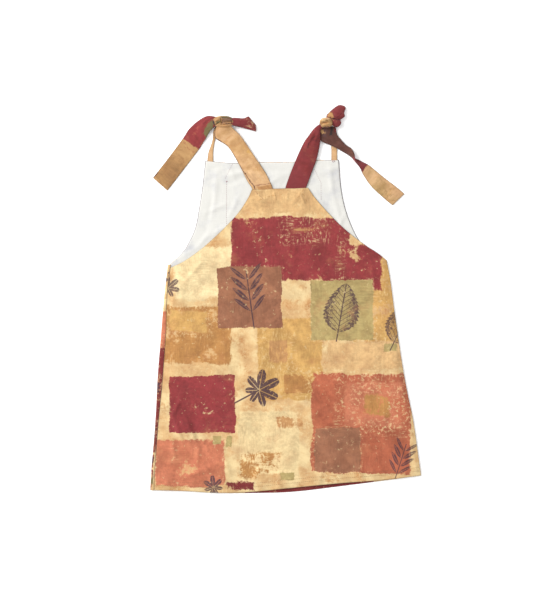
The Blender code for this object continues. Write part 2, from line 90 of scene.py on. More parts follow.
# Levels, which run from 0 at the hem to 1 at the underarms and 2 at a panel's top edge
ROLL_END_LEVEL = 1.12
LINING_HIDDEN_LEVEL = 1.02
LINING_SHOWN_LEVEL = 1.1
LINING_OUT_LEVEL = 1.2

# How fast rows straighten above the hem and below the neck, and how close the rows above the underarms lie
HEM_BOW_POWER = 1.5
NECK_BOW_POWER = 3.0
BIB_ROW_POWER = 1.25
MERGE_DISTANCE = 0.01


def table(kind, *rows):
    """A table's rows; the kind names its columns, in their order."""
    return tuple(kind(*row) for row in rows)


# Outlines of the panels: points of the side edges, the wrapped strip, and how far the hem and neck sag
EdgePoint = namedtuple("EdgePoint", "y x")
StripPoint = namedtuple("StripPoint", "y width")
SagPoint = namedtuple("SagPoint", "part drop")

LEFT_SIDE_FOLD = table(
    EdgePoint,
    (-243.7, -172.7),
    (-215, -171.1),
    (-180, -168),
    (-144, -165.4),
    (-102, -163.4),
    (-54, -159.6),
    (-12, -156.2),
    (18, -153.3),
    (43.8, -150.2),
)
LEFT_SEAM_STRIP = table(
    StripPoint,
    (-243.7, 4.7),
    (-195, 3.9),
    (-150, 4.1),
    (-105, 6.3),
    (-40, 5.7),
    (-10, 3.9),
    (22, 3.2),
    (43.8, 3.6),
)
RIGHT_SIDE_SEAM = table(
    EdgePoint,
    (-225, 172.7),
    (-205, 169.8),
    (-157, 163),
    (-115, 154.4),
    (-78, 147.8),
    (-24, 139.9),
    (28, 132.8),
    (49.1, 128.8),
)
FRONT_LEFT_ARMHOLE = table(
    EdgePoint,
    (39.8, -146.6),
    (47.7, -130.1),
    (63.3, -108),
    (76.6, -92.7),
    (90.6, -78),
    (109.1, -60.8),
    (128.4, -48),
    (139.7, -42.9),
)
FRONT_RIGHT_ARMHOLE = table(
    EdgePoint,
    (49.1, 128.8),
    (58.1, 117.6),
    (67.2, 103.4),
    (81.7, 83.9),
    (93.1, 70.6),
    (109.1, 54.7),
    (128.4, 37.7),
    (141.6, 28.5),
)
BACK_LEFT_ARMHOLE = table(
    EdgePoint,
    (43.8, -148.4),
    (56.8, -134),
    (67.2, -126.3),
    (89.3, -115.8),
    (116.9, -110.3),
    (141.3, -106.5),
    (176.5, -102.5),
)
BACK_RIGHT_ARMHOLE = table(
    EdgePoint,
    (49.1, 128.4),
    (59.3, 110.2),
    (74, 94.4),
    (94.4, 83.6),
    (116.9, 75.7),
    (143.3, 70.6),
    (177.6, 67.9),
)
FRONT_HEM_SAG = table(
    SagPoint,
    (0, 0),
    (0.11, 3),
    (0.23, 7.5),
    (0.37, 8.7),
    (0.50, 6.9),
    (0.70, 4),
    (0.85, 3),
    (1, 0),
)
BACK_HEM_SAG = table(
    SagPoint,
    (0, 0),
    (0.12, 3.3),
    (0.24, 8.1),
    (0.38, 10.8),
    (0.52, 12),
    (0.72, 7.7),
    (0.92, 2.5),
    (1, 0),
)
BACK_NECK_DIP = table(
    SagPoint,
    (0, 0),
    (0.21, 3.2),
    (0.42, 2.3),
    (0.63, 2.3),
    (0.84, 0.2),
    (1, 0),
)
STRAIGHT = table(SagPoint, (0, 0), (1, 0))

# Soft folds and creases of the front: middle, direction, length, width and rise above the flat cloth
Fold = namedtuple("Fold", "x y angle length width rise")

FRONT_FOLDS = table(
    Fold,
    (-121, -178, -54, 50, 9, 1),
    (-142, -205, 72, 80, 13, 1.3),
    (-84, -222, 98, 60, 16, 1.6),
    (-34, -226, 84, 50, 15, 1.2),
    (62, -205, 95, 70, 18, 1.1),
    (138, -196, 103, 80, 14, 1.3),
    (136, -60, 100, 110, 12, 1.2),
    (-138, -40, 84, 120, 13, 1.1),
    (-88, 40, 32, 70, 12, 0.9),
    (84, 44, 148, 70, 12, 0.9),
    (-20, -20, 80, 150, 26, 0.8),
    (40, 60, 100, 90, 20, 0.7),
    (-130, -158, -64, 44, 7, 1.3),
    (-137, -166, -72, 24, 3, 2.2),
    (-120, -168, -66, 26, 3, 2.4),
    (-99, -193, -60, 22, 3.2, 1.8),
    (-112, -221, 20, 24, 3.4, 1.9),
    (-143, -190, -80, 18, 3.2, 1.9),
    (-112, -200, 84, 18, 3.2, 1.8),
    (-140, -140, 64, 24, 3.2, 1.7),
    (-74, -214, 106, 30, 3.6, 1.2),
    (-42, -232, 62, 22, 3.2, 1.1),
    (-8, -236, 104, 18, 3.2, 1.1),
    (44, -228, 80, 26, 3.6, 1),
    (96, -222, 100, 28, 3.6, 1.1),
    (150, -204, 104, 26, 3.2, 1.1),
    (126, -150, 92, 40, 4, 0.8),
    (138, -18, 94, 36, 3.4, 0.9),
    (110, 38, 100, 22, 3.2, 0.9),
    (-118, 34, 50, 26, 3.4, 0.9),
    (-142, 2, 80, 32, 3.2, 0.8),
    (-34, 131, -58, 13, 2.2, 1.2),
    (-24, 129, 20, 15, 2.2, 1.1),
    (-14, 132, -70, 9, 2, 1),
    (18, 132, 48, 13, 2.2, 1.3),
    (22, 126, 112, 10, 2.2, 1),
    (2, 131, 84, 10, 2.4, 0.9),
    (-4, 127, 4, 30, 2.2, 0.7),
    (6, -66, 76, 60, 5, 0.7),
    (-52, -150, 10, 34, 4.2, 0.8),
    (70, -96, 64, 46, 5, 0.7),
    (-70, -94, 112, 44, 4.6, 0.7),
    (96, -30, 118, 30, 4.2, 0.6),
)

# Soft wrinkles of the lining, where it shows beside the bib and above it
LINING_FOLDS = table(
    Fold,
    (-90, 138, 84, 34, 4.4, 0.5),
    (-97, 112, 78, 30, 3.4, -0.4),
    (-84, 88, 30, 26, 4, 0.5),
    (-104, 76, 52, 22, 3.2, 0.4),
    (-122, 60, 36, 20, 2.8, 0.3),
    (-66, 118, 64, 26, 3.6, 0.4),
    (-68, 160, 118, 16, 3.2, 0.4),
    (-92, 166, 20, 16, 3, -0.4),
    (58, 150, 96, 30, 4, 0.5),
    (66, 112, 104, 26, 3.4, 0.4),
    (52, 122, 122, 20, 3, -0.4),
    (-14, 158, 8, 20, 3.4, 0.4),
    (-2, 148, 60, 12, 3, -0.3),
    (-62, 160, 14, 24, 3.6, 0.7),
    (-60, 152, 20, 18, 3, -0.6),
    (-8, 164, -12, 16, 3, -0.6),
    (-18, 150, 24, 18, 3.6, 0.7),
    (-88, 116, 22, 20, 3.4, 0.6),
    (-108, 100, -16, 14, 3, -0.5),
    (-78, 104, -34, 22, 3.4, -0.6),
    (56, 164, 20, 16, 3, 0.6),
    (60, 134, -24, 18, 3.4, -0.6),
    (70, 98, 60, 18, 3, 0.5),
)

# Straps: middle of each section, height of its middle surface, direction across, width, roll and crown
Row = namedtuple("Row", "x y z across width roll crown")
NumberedRow = namedtuple("NumberedRow", ("number",) + Row._fields)
Knot = namedtuple("Knot", "x y z half_x half_y half_z")

LEFT_STRAP = table(
    Row,
    (-28.2, 137.2, 2.6, 1.5, 25.6, 0, 0),
    (-31.4, 144.6, 3.4, 4, 26.4, 0, 0),
    (-38.3, 157.2, 3.4, 23, 25.4, 0, 0.3),
    (-50.9, 178.8, 3.5, 26, 22.3, 0, 0.5),
    (-65.3, 200.5, 3.7, 38, 21.4, 0, 0.8),
    (-77.6, 210.4, 4.2, 24, 26.4, 0, 1),
    (-78.2, 217, 4.7, 4, 21.6, 0, 1),
    (-79, 223.5, 5, 0, 14, 0, 0.6),
)
RIGHT_STRAP = table(
    Row,
    (11.8, 138.4, 2.6, 1.5, 25.8, 0, 0),
    (14.2, 145.6, 3.4, -2, 26.4, 0, 0),
    (20.1, 161.9, 3.4, -16, 25, 0, 0.3),
    (27.4, 180.2, 3.6, -19, 24.4, 0, 0.8),
    (33.2, 196.4, 4, -19, 20.6, 0, 1.4),
    (36.9, 206.4, 4.6, -16, 15.2, 0, 2),
    (41.2, 216.8, 5, -31, 7.6, 0, 1.4),
    (48.5, 222.4, 5.4, -45, 5, 0, 0.6),
)
LEFT_LONG_TAIL = table(
    Row,
    (-86, 226, 5.2, 88, 8, 0, 0.6),
    (-92.8, 224.6, 4.2, 87, 16, 0, 1.4),
    (-101, 220.7, 2.7, 100, 23.2, 0, 1),
    (-113.4, 208.8, 1.2, 133, 25.2, 0, 0.4),
    (-121, 197.5, 0.8, 143, 24.8, 0, 0),
    (-139.9, 172.3, 0.8, 141.5, 24.5, 0, 0),
    (-160.1, 146.3, 0.8, 138.5, 24.7, 0, 0),
)
RIGHT_LONG_TAIL = table(
    Row,
    (53.9, 219.6, 2.5, 0, 19.6, 0, 0.2),
    (54.7, 210, 2.4, -2, 22, 0, 0.8),
    (57.9, 202.2, 2.4, 4, 25.8, 0, 1),
    (66.8, 196.1, 2.7, 1, 20.4, 0, 1),
    (74, 192.3, 3, 8, 15.4, 4, 0.8),
    (80.6, 187.4, 3.4, 22, 11.4, 34, 0.8),
    (85.6, 182.4, 3.6, 40, 9, 60, 1.8),
    (90.4, 176.1, 3.6, 56, 9, 120, 1.8),
    (97.2, 170.1, 2.8, 58, 10.6, 150, -0.4),
    (102.8, 164.2, 2, 54, 14.6, 170, -0.4),
    (116.2, 150, 0.9, 46, 19.2, 180, 0),
    (134, 135, 0.8, 46, 21.4, 180, 0),
    (143.9, 126.7, 0.8, 44, 21.2, 180, 0),
)
LEFT_SHORT_LOOP = table(
    Row,
    (-75, 225.8, 6.2, 90, 6, 0, 0.4),
    (-65.2, 225.3, 5.2, 90, 10.4, 0, 1.6),
    (-55.2, 224.2, 3.8, 76, 12.2, 0, 1.8),
    (-46.9, 224.1, 2.6, 92, 17, 0, 1.4),
    (-40.2, 219.9, 1.9, 107, 13.6, 0, 0.6),
    (-37.7, 217.6, 1.6, 92, 8, 0, 0.2),
)
RIGHT_SHORT_LOOP = table(
    Row,
    (54, 225.6, 6.2, -52, 9, 0, 0.4),
    (58.8, 225.9, 6, -48.8, 20.3, 0, 1.4),
    (62.5, 229.9, 5.6, -39.4, 20.8, 0, 2),
    (63.5, 233.6, 5, -39.7, 16.9, 0, 1),
    (67.3, 236.7, 4.6, -30.6, 18.2, 0, 2),
    (68.8, 240.8, 3.8, -31, 13.5, 0, 1.8),
    (71.5, 244.8, 2.9, -20, 10.6, 0, 0.8),
    (72.1, 246.7, 2.2, -13.5, 6, 0, 0.2),
)
LEFT_BACK_LOOP = table(
    Row,
    (-96, 171.8, 1.2, -5, 7.4, 0, 0),
    (-96.1, 177.8, 0.8, -5, 7.4, 0, 0),
    (-95.4, 187.5, 0.6, 4, 6.2, 0, 0),
    (-93.2, 196.6, 0.6, 12, 4.2, 0, 0),
    (-91.4, 204.4, 0.6, 10, 3.4, 0, 0),
    (-90.4, 214.4, 0.6, 6, 3.4, 0, 0),
    (-86, 222, 0.6, 16, 3.6, 0, 0),
)
RIGHT_BACK_LOOP = table(
    Row,
    (61.9, 172.8, 1.2, 0.5, 7.5, 0, 0),
    (61.9, 178.8, 0.8, 0.5, 7.5, 0, 0),
    (61.9, 190, 0.6, 1, 7.4, 0, 0),
    (60.8, 200, 0.6, 6, 7, 0, 0),
    (58.4, 211, 0.6, 12, 6.2, 0, 0),
    (54.5, 221, 0.6, 14, 5.6, 0, 0),
)
LEFT_KNOT = Knot(x=-79.4, y=225.6, z=5.0, half_x=13.5, half_y=7.4, half_z=5.8)
RIGHT_KNOT = Knot(x=51.2, y=224.0, z=5.8, half_x=8.3, half_y=6.6, half_z=6.6)

# Creases on the top of a strap: place across and along it, direction from its length, length, width and rise
Crease = namedtuple("Crease", "across along angle length width rise")

LEFT_STRAP_CREASES = table(
    Crease,
    (-8.6, 32, 2, 36, 1, -0.8),
    (3, 66, -12, 16, 2.4, 0.5),
    (-6, 86, 14, 12, 1.8, -0.6),
    (1, 88, 0, 14, 1.6, 0.6),
    (6, 84, -12, 12, 1.6, -0.6),
)
RIGHT_STRAP_CREASES = table(
    Crease,
    (-1, 68, -5, 13, 1.3, -1.4),
    (-4.2, 66, -5, 16, 2, 0.7),
    (2.6, 66, -4, 12, 2, 0.6),
    (5, 48, 6, 22, 2.6, 0.4),
    (-7, 30, -4, 20, 2.6, -0.3),
)
LEFT_TAIL_CREASES = table(
    Crease,
    (0, 8, 0, 12, 1.6, -0.9),
    (5, 12, 10, 14, 2, 0.6),
    (-5, 14, -14, 12, 1.8, -0.5),
    (4, 34, 60, 12, 2.6, 0.4),
)
RIGHT_TAIL_CREASES = table(
    Crease,
    (1, 8, 0, 10, 1.4, -1),
    (-4, 16, 30, 14, 2, 0.5),
    (3, 24, 50, 16, 2.2, -0.6),
    (-2, 30, 60, 16, 2, 0.5),
)
LEFT_LOOP_CREASES = table(
    Crease,
    (0, 8, 0, 16, 1.2, -0.8),
    (3, 20, 12, 14, 1.6, 0.6),
    (-3, 26, -20, 10, 1.4, -0.5),
)
RIGHT_LOOP_CREASES = table(
    Crease,
    (3, 11, -51, 11, 1.3, -1.7),
    (2, 14.4, -51, 10, 1.8, 0.8),
    (3, 4, -96, 9, 1.4, -1.2),
    (4, 7.4, -80, 9, 1.6, 0.8),
    (2, 19, 8, 8, 1.4, -0.8),
)

# Folds of the wrapped cloth over the top of each knot
LEFT_KNOT_FOLDS = table(
    Fold,
    (-86.4, 226.4, 10, 4.8, 3.6, 2),
    (-86.8, 225.4, 24, 3.4, 0.8, -1.8),
    (-87.8, 221.8, 34, 5, 0.9, -2.2),
    (-82, 226.2, 98, 6, 0.8, -2.2),
    (-76, 229.4, -8, 11, 1, -1.4),
    (-75, 227.2, -12, 10, 1.5, 1),
    (-75, 224.6, 6, 11, 0.9, -1.6),
    (-75.6, 221.6, 10, 11, 1, -1.8),
    (-77, 219.6, 4, 11, 1.4, 0.8),
    (-68.6, 225, 80, 7, 1, -1.4),
)
RIGHT_KNOT_FOLDS = table(
    Fold,
    (48.6, 223.8, -6, 6.4, 1.1, -2.8),
    (50.6, 227.2, 8, 7.4, 1.7, 1),
    (51, 221, 12, 7.4, 1.5, 0.9),
    (53.4, 225.2, -38, 4.4, 0.9, -1.2),
    (45.6, 221.4, 40, 4, 0.9, -1.2),
)

# Grid sizes
SKIRT_ROWS = 136
BIB_ROWS = 60
PANEL_ROWS = SKIRT_ROWS + BIB_ROWS
FRONT_COLUMNS = 158
ROLL_COLUMNS = 6
BACK_COLUMNS = 60
LINING_COLUMNS = 84
WRAP_ARC_STEPS = 10
TUBE_STEPS_PER_ROW = 10
TUBE_COLUMNS = 40
PATH_PARTS = 90
KNOT_SEGMENTS = 96
KNOT_RINGS = 64

# How full a flattened tube is at its sides, over its faces and at its sewn ends
TUBE_SIDE_POWER = 0.8
TUBE_FACE_POWER = 0.55
SEWN_END = 0.55
SEWN_END_REACH = 2.5

# A knot is a ball drawn towards a block, with its folds only on top, from one height of the ball to another
KNOT_SQUARENESS = 0.86
KNOT_FOLDS_START = -0.1
KNOT_FOLDS_FULL = 0.5

# Thread
STITCH_PITCH = 2.6
STITCH_LENGTH = 2.0
THREAD = 0.4
HEM_STITCH_RISES = (6.4, 11.0)
HEM_STITCH_LEFT_INSET = 1.0
HEM_STITCH_RIGHT_INSET = 3.0
TACK_THREAD = 0.8
TACK_LIFT = 0.1

# Relief of the finishes, and how far the painted shade at a turned edge reaches
WEAVE_DEPTH = 0.12
TWIST_DEPTH = 0.1
EDGE_SHADE_REACH = 1.4

# Studio, in metres
LIGHT_LEVEL = 1.72
WORLD_STRENGTH = 1.05
LAMP_WATTS = 130.0
LAMP_SIZE = 2.0
LAMP_PLACE = (-2.3, 1.1, 1.6)
FLOOR_HALF_SIZE = 3.0
FLOOR_DROP = 0.0002
CAMERA_PLACE = (-0.0200, -0.0013, 1.6)
VIEW_HEIGHT = 0.7656
SENSOR_HEIGHT = 24.0

# Printed and dyed shades, as they show on a screen
SHADES = {
    "cream": (251, 224, 168),
    "light cream": (255, 231, 178),
    "sand": (236, 194, 136),
    "tan": (216, 162, 104),
    "ochre": (205, 148, 84),
    "gold": (228, 180, 106),
    "terracotta": (196, 108, 76),
    "salmon": (216, 130, 96),
    "crimson": (158, 58, 60),
    "deep red": (136, 46, 46),
    "olive": (194, 172, 112),
    "dull olive": (132, 118, 76),
    "brown": (168, 112, 82),
    "dark brown": (106, 64, 54),
    "plum": (82, 56, 66),
    "near black": (58, 42, 40),
    "strap tan": (216, 170, 114),
    "strap sand": (236, 192, 142),
    "strap light": (250, 208, 156),
    "strap red": (142, 54, 58),
    "white": (243, 241, 234),
    # Painted shade of the lining's wrinkles
    "shaded white": (211, 211, 215),
    # Painted shade in the creases of the red ties
    "dark crimson": (92, 30, 34),
    "pink": (182, 124, 134),
    "thread tan": (162, 110, 64),
    "glaze": (204, 140, 96),
    "tie brown": (104, 62, 51),
    "knot brown": (152, 114, 86),
    "tie plum": (106, 72, 70),
    # Painted shade of the back's outline beside the lining
    "dusty mauve": (132, 122, 128),
    "tail olive": (200, 164, 108),
    "tail tan": (200, 156, 102),
    "tail brown": (182, 138, 88),
}


def linear(name):
    """A named shade as a linear colour, for cloth lit at the studio's level."""
    values = []
    for value in SHADES[name]:
        share = value / 255.0
        values.append((share / 12.92 if share <= 0.04045 else ((share + 0.055) / 1.055) ** 2.4) / LIGHT_LEVEL)
    return (*values, 1.0)


def smooth_between(start, end, value):
    """0 at start, 1 at end, level at both."""
    part = min(max((value - start) / (end - start), 0.0), 1.0)
    return part * part * (3.0 - 2.0 * part)


def table_slope(table, index, along, column):
    before = table[max(index - 1, 0)]
    after = table[min(index + 1, len(table) - 1)]
    run = getattr(after, along) - getattr(before, along)
    return (getattr(after, column) - getattr(before, column)) / run


def read_table(table, along, column, value):
    """The column's value on the smooth curve through the table's rows."""
    last = len(table) - 2
    index = 0
    while index < last and value > getattr(table[index + 1], along):
        index += 1
    start, end = table[index], table[index + 1]
    run = getattr(end, along) - getattr(start, along)
    t = min(max((value - getattr(start, along)) / run, 0.0), 1.0)
    rise_start = table_slope(table, index, along, column) * run
    rise_end = table_slope(table, index + 1, along, column) * run
    return (
        (2 * t**3 - 3 * t**2 + 1) * getattr(start, column)
        + (t**3 - 2 * t**2 + t) * rise_start
        + (3 * t**2 - 2 * t**3) * getattr(end, column)
        + (t**3 - t**2) * rise_end
    )


def edge_x(table, y):
    return read_table(table, "y", "x", y)


def seam_strip(y):
    return read_table(LEFT_SEAM_STRIP, "y", "width", y)


def level_at(up):
    """The level of the row at this part of a panel's rows; the rows lie closer above the underarms."""
    row = round(up * PANEL_ROWS)
    if row <= SKIRT_ROWS:
        return row / SKIRT_ROWS
    return 1.0 + ((row - SKIRT_ROWS) / BIB_ROWS) ** BIB_ROW_POWER


def mix(start, end, part):
    return start + (end - start) * part


def side_y(level, hem_y, underarm_y, top_y):
    if level <= 1.0:
        return mix(hem_y, underarm_y, level)
    return mix(underarm_y, top_y, level - 1.0)


def row_point(left, right, part, level, hem_sag, top_dip):
    """A point of a panel's row, which bows with the hem below and with the neck edge above."""
    x = mix(left[0], right[0], part)
    y = mix(left[1], right[1], part)
    y -= read_table(hem_sag, "part", "drop", part) * max(1.0 - level, 0.0) ** HEM_BOW_POWER
    y -= read_table(top_dip, "part", "drop", part) * max(level - 1.0, 0.0) ** NECK_BOW_POWER
    return x, y


def front_edges(level):
    left_y = side_y(level, HEM_LEFT_Y, FRONT_UNDERARM_LEFT_Y, BIB_TOP_LEFT_Y)
    right_y = side_y(level, HEM_RIGHT_Y, UNDERARM_RIGHT_Y, BIB_TOP_RIGHT_Y)
    if level <= 1.0:
        left_x = edge_x(LEFT_SIDE_FOLD, left_y) + seam_strip(left_y) + SEAM_GAP
        return (left_x, left_y), (edge_x(RIGHT_SIDE_SEAM, right_y), right_y)
    left_x = edge_x(FRONT_LEFT_ARMHOLE, left_y)
    return (left_x, left_y), (edge_x(FRONT_RIGHT_ARMHOLE, right_y), right_y)


def back_edges(level):
    left_y = side_y(level, HEM_LEFT_Y, BACK_UNDERARM_LEFT_Y, BACK_TOP_LEFT_Y)
    right_y = side_y(level, HEM_RIGHT_Y, UNDERARM_RIGHT_Y, BACK_TOP_RIGHT_Y)
    if level <= 1.0:
        left_x = edge_x(LEFT_SIDE_FOLD, left_y) + FOLD_RADIUS
        right_x = edge_x(RIGHT_SIDE_SEAM, right_y) - BACK_EDGE_INSET
        return (left_x, left_y), (right_x, right_y)
    left_x = edge_x(BACK_LEFT_ARMHOLE, left_y)
    return (left_x, left_y), (edge_x(BACK_RIGHT_ARMHOLE, right_y), right_y)


def lining_edges(level):
    (left_x, left_y), (right_x, right_y) = back_edges(level)
    out_to_edge = smooth_between(ROLL_END_LEVEL, LINING_OUT_LEVEL, level)
    right_inset = mix(LINING_SEAM_INSET, LINING_INSET, out_to_edge)
    rise = LINING_HEM_RISE * max(1.0 - level, 0.0) ** HEM_BOW_POWER
    drop = LINING_INSET * max(level - 1.0, 0.0) ** NECK_BOW_POWER
    return (left_x + LINING_INSET, left_y + rise - drop), (right_x - right_inset, right_y + rise - drop)


def fold_rise(x, y, folds):
    """How far folds lift the cloth at a point; a hollow has a rise below 0."""
    rise = 0.0
    for fold in folds:
        angle = math.radians(fold.angle)
        along = (x - fold.x) * math.cos(angle) + (y - fold.y) * math.sin(angle)
        across = (y - fold.y) * math.cos(angle) - (x - fold.x) * math.sin(angle)
        reach = (along / fold.length) ** 2 + (across / fold.width) ** 2
        if reach < 4.0:
            rise += fold.rise * math.exp(-2.0 * reach)
    return rise


def front_hem_y(x):
    """The front's hem edge at a place across."""
    left, right = front_edges(0.0)
    part = min(max((x - left[0]) / (right[0] - left[0]), 0.0), 1.0)
    return row_point(left, right, part, 0.0, FRONT_HEM_SAG, STRAIGHT)[1]


def front_height(x, y, level, right_x):
    """Height of the front's upper face: folds, the doubled hem, and a roll to the back at the right seam."""
    roll = 1.0 - smooth_between(0.0, RIGHT_SEAM_ROLL, right_x - x)
    roll *= 1.0 - smooth_between(1.0, ROLL_END_LEVEL, level)
    above_hem = y - front_hem_y(x)
    top = FRONT_TOP + fold_rise(x, y, FRONT_FOLDS) * smooth_between(0.0, FOLD_FADE_AT_SEAM, right_x - x)
    top += HEM_STEP * (1.0 - smooth_between(HEM_DEPTH, HEM_DEPTH + HEM_STEP_WIDTH, above_hem))
    top = max(top - HEM_DROOP * (1.0 - smooth_between(0.0, HEM_DROOP_WIDTH, above_hem)), LEAST_FRONT_TOP)
    return mix(top, FRONT_TOP - LAYER, roll)


def front_part(across, row_width):
    """The part of the row's width at a part of the columns; the last few lie close, in the seam's roll."""
    column = round(across * (FRONT_COLUMNS + ROLL_COLUMNS))
    roll_part = RIGHT_SEAM_ROLL / row_width
    if column <= FRONT_COLUMNS:
        return (1.0 - roll_part) * column / FRONT_COLUMNS
    return 1.0 - roll_part * (1.0 - (column - FRONT_COLUMNS) / ROLL_COLUMNS)


def add_grid(cloth, columns, rows, place, charts=(CUT,)):
    """Adds a grid of cloth; place gives each point and its place in each chart, in millimetres."""
    layers = [cloth.loops.layers.uv.get(chart) or cloth.loops.layers.uv.new(chart) for chart in charts]
    grid = bmesh.ops.create_grid(cloth, x_segments=columns, y_segments=rows, size=0.5)
    chart_places = {}
    for point in grid["verts"]:
        spot, *chart_places[point] = place(point.co.x + 0.5, point.co.y + 0.5)
        point.co = Vector(spot) * MM
    for face in {face for point in grid["verts"] for face in point.link_faces}:
        for corner in face.loops:
            for layer, chart_place in zip(layers, chart_places[corner.vert]):
                corner[layer].uv = Vector(chart_place) * MM


def finish_piece(builder, name, material):
    mesh = bpy.data.meshes.new(name)
    builder.to_mesh(mesh)
    builder.free()
    mesh.shade_smooth()
    mesh.materials.append(material)
    piece = bpy.data.objects.new(name, mesh)
    bpy.context.scene.collection.objects.link(piece)
    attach(piece, BODY)
    return piece


def finish_cloth(builder, node, material, slot, thickness):
    """A piece of cloth with its wall inwards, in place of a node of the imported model."""
    piece = finish_piece(builder, f"{node}_cloth", material)
    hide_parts(node)
    wall = piece.modifiers.new("cloth wall", "SOLIDIFY")
    wall.thickness = thickness * MM
    wall.offset = -1.0
    return piece


def finish_panel(builder, node, material, slot):
    """A panel of cloth with softly rounded edges."""
    panel = finish_cloth(builder, node, material, slot, CLOTH)
    edge = panel.modifiers.new("rounded edge", "BEVEL")
    edge.width = CLOTH_EDGE_ROUND * MM
    edge.segments = 2
    edge.limit_method = "ANGLE"
    edge.angle_limit = math.radians(60.0)
    return panel


def front_panel(material):
    """The front, bib and skirt in one, which follows the lining and rolls down over the right seam."""

    def place(across, up):
        level = level_at(up)
        left, right = front_edges(level)
        part = front_part(across, right[0] - left[0])
        x, y = row_point(left, right, part, level, FRONT_HEM_SAG, STRAIGHT)
        to_top = mix(BIB_TOP_LEFT_Y, BIB_TOP_RIGHT_Y, part) - y
        to_edge = min(x - left[0], right[0] - x, to_top, y - front_hem_y(x))
        return (x, y, front_height(x, y, level, right[0])), (x, y), (to_edge, y)

    cloth = bmesh.new()
    add_grid(cloth, FRONT_COLUMNS + ROLL_COLUMNS, PANEL_ROWS, place, (CUT, EDGE))
    return finish_panel(cloth, "front_panel", material, "front_print")


def back_panel(material):
    """The back lies flat, and its left side turns over the fold onto the top as a narrow strip."""
    wrap_steps = WRAP_ARC_STEPS + 1

    def place_flat(part, up):
        level = level_at(up)
        left, right = back_edges(level)
        x, y = row_point(left, right, part, level, BACK_HEM_SAG, BACK_NECK_DIP)
        return (x, y, 0.0), (x, y)

    def place_wrap(part, up):
        step = round(part * wrap_steps)
        y = mix(HEM_LEFT_Y, BACK_UNDERARM_LEFT_Y, up)
        fold_x = edge_x(LEFT_SIDE_FOLD, y)
        start_x = fold_x + FOLD_RADIUS
        if step == 0:
            cut_x = start_x - math.pi * FOLD_RADIUS - seam_strip(y) + FOLD_RADIUS
            return (fold_x + seam_strip(y), y, 2 * FOLD_RADIUS), (cut_x, y)
        turn = math.pi * (step - 1) / WRAP_ARC_STEPS
        x = fold_x + FOLD_RADIUS - FOLD_RADIUS * math.sin(turn)
        z = FOLD_RADIUS + FOLD_RADIUS * math.cos(turn)
        return (x, y, z), (start_x - FOLD_RADIUS * (math.pi - turn), y)

    cloth = bmesh.new()
    add_grid(cloth, BACK_COLUMNS, PANEL_ROWS, place_flat)
    add_grid(cloth, wrap_steps, SKIRT_ROWS, place_wrap)
    bmesh.ops.remove_doubles(cloth, verts=cloth.verts[:], dist=MERGE_DISTANCE * MM)
    bmesh.ops.reverse_faces(cloth, faces=cloth.faces[:])
    return finish_panel(cloth, "back_panel", material, "back_print")


def lining_height(x, y, level):
    """Height of the lining's upper face: wrinkled where it shows, flat under the front."""
    shown = smooth_between(LINING_HIDDEN_LEVEL, LINING_SHOWN_LEVEL, level)
    rise = max(LINING_FOLD_STRENGTH * fold_rise(x, y, LINING_FOLDS), LEAST_LINING_RISE)
    return LINING_TOP + rise * shown


def back_lining(material):
    """The lining on the back, a little smaller than it all round."""

    def place(part, up):
        level = level_at(up)
        left, right = lining_edges(level)
        x, y = row_point(left, right, part, level, BACK_HEM_SAG, BACK_NECK_DIP)
        return (x, y, lining_height(x, y, level)), (x, y)

    cloth = bmesh.new()
    add_grid(cloth, LINING_COLUMNS, PANEL_ROWS, place)
    return finish_panel(cloth, "back_lining", material, "lining")


def section_at(rows, part):
    """The section at a part of the way through a strap's rows."""
    numbered = [NumberedRow(index, *row) for index, row in enumerate(rows)]
    at = part * (len(rows) - 1)
    return Row(*(read_table(numbered, "number", column, at) for column in Row._fields))


def distances_along(rows):
    """Distance from the first section to each of the path's equal parts."""
    points = [Vector(section_at(rows, step / PATH_PARTS)[:3]) for step in range(PATH_PARTS + 1)]
    distances = [0.0]
    for before, after in zip(points, points[1:]):
        distances.append(distances[-1] + (after - before).length)
    return distances


def distance_at(distances, part):
    at = part * PATH_PARTS
    index = min(int(at), PATH_PARTS - 1)
    return mix(distances[index], distances[index + 1], at - index)


def eased(value, power):
    """The value to a power, with its sign kept."""
    return math.copysign(abs(value) ** power, value)


def tube_point(tie, part, around, distances, folds):
    """A point of a flattened tube and its places in both charts; around is 0.25 at the middle of the top."""
    section = section_at(tie.rows, part)
    angle = math.radians(section.across)
    roll = math.radians(section.roll)
    turn = math.pi - 2.0 * math.pi * around
    side = eased(math.cos(turn), TUBE_SIDE_POWER)
    face = eased(math.sin(turn), TUBE_FACE_POWER)
    offset = side * section.width / 2
    along = distance_at(distances, part)
    to_end = min(along, distances[-1] - along)
    fullness = mix(SEWN_END, 1.0, smooth_between(0.0, SEWN_END_REACH, to_end))
    rise = section.crown * (1.0 - side * side)
    if face > 0.0:
        rise += fold_rise(offset, along, folds) * face
    level_offset = offset * math.cos(roll) - rise * math.sin(roll)
    half = face * fullness * tie.thickness / 2
    x = section.x + level_offset * math.cos(angle) - half * math.sin(roll) * math.cos(angle)
    y = section.y + level_offset * math.sin(angle) - half * math.sin(roll) * math.sin(angle)
    z = max(section.z + offset * math.sin(roll) + rise * math.cos(roll), tie.thickness / 2)
    z += half * math.cos(roll)
    to_edge = (1.0 - abs(side)) * section.width / 2
    return (x, y, max(z, 0.0)), ((around - 0.25) * 2.0 * section.width, along), (to_edge, along)


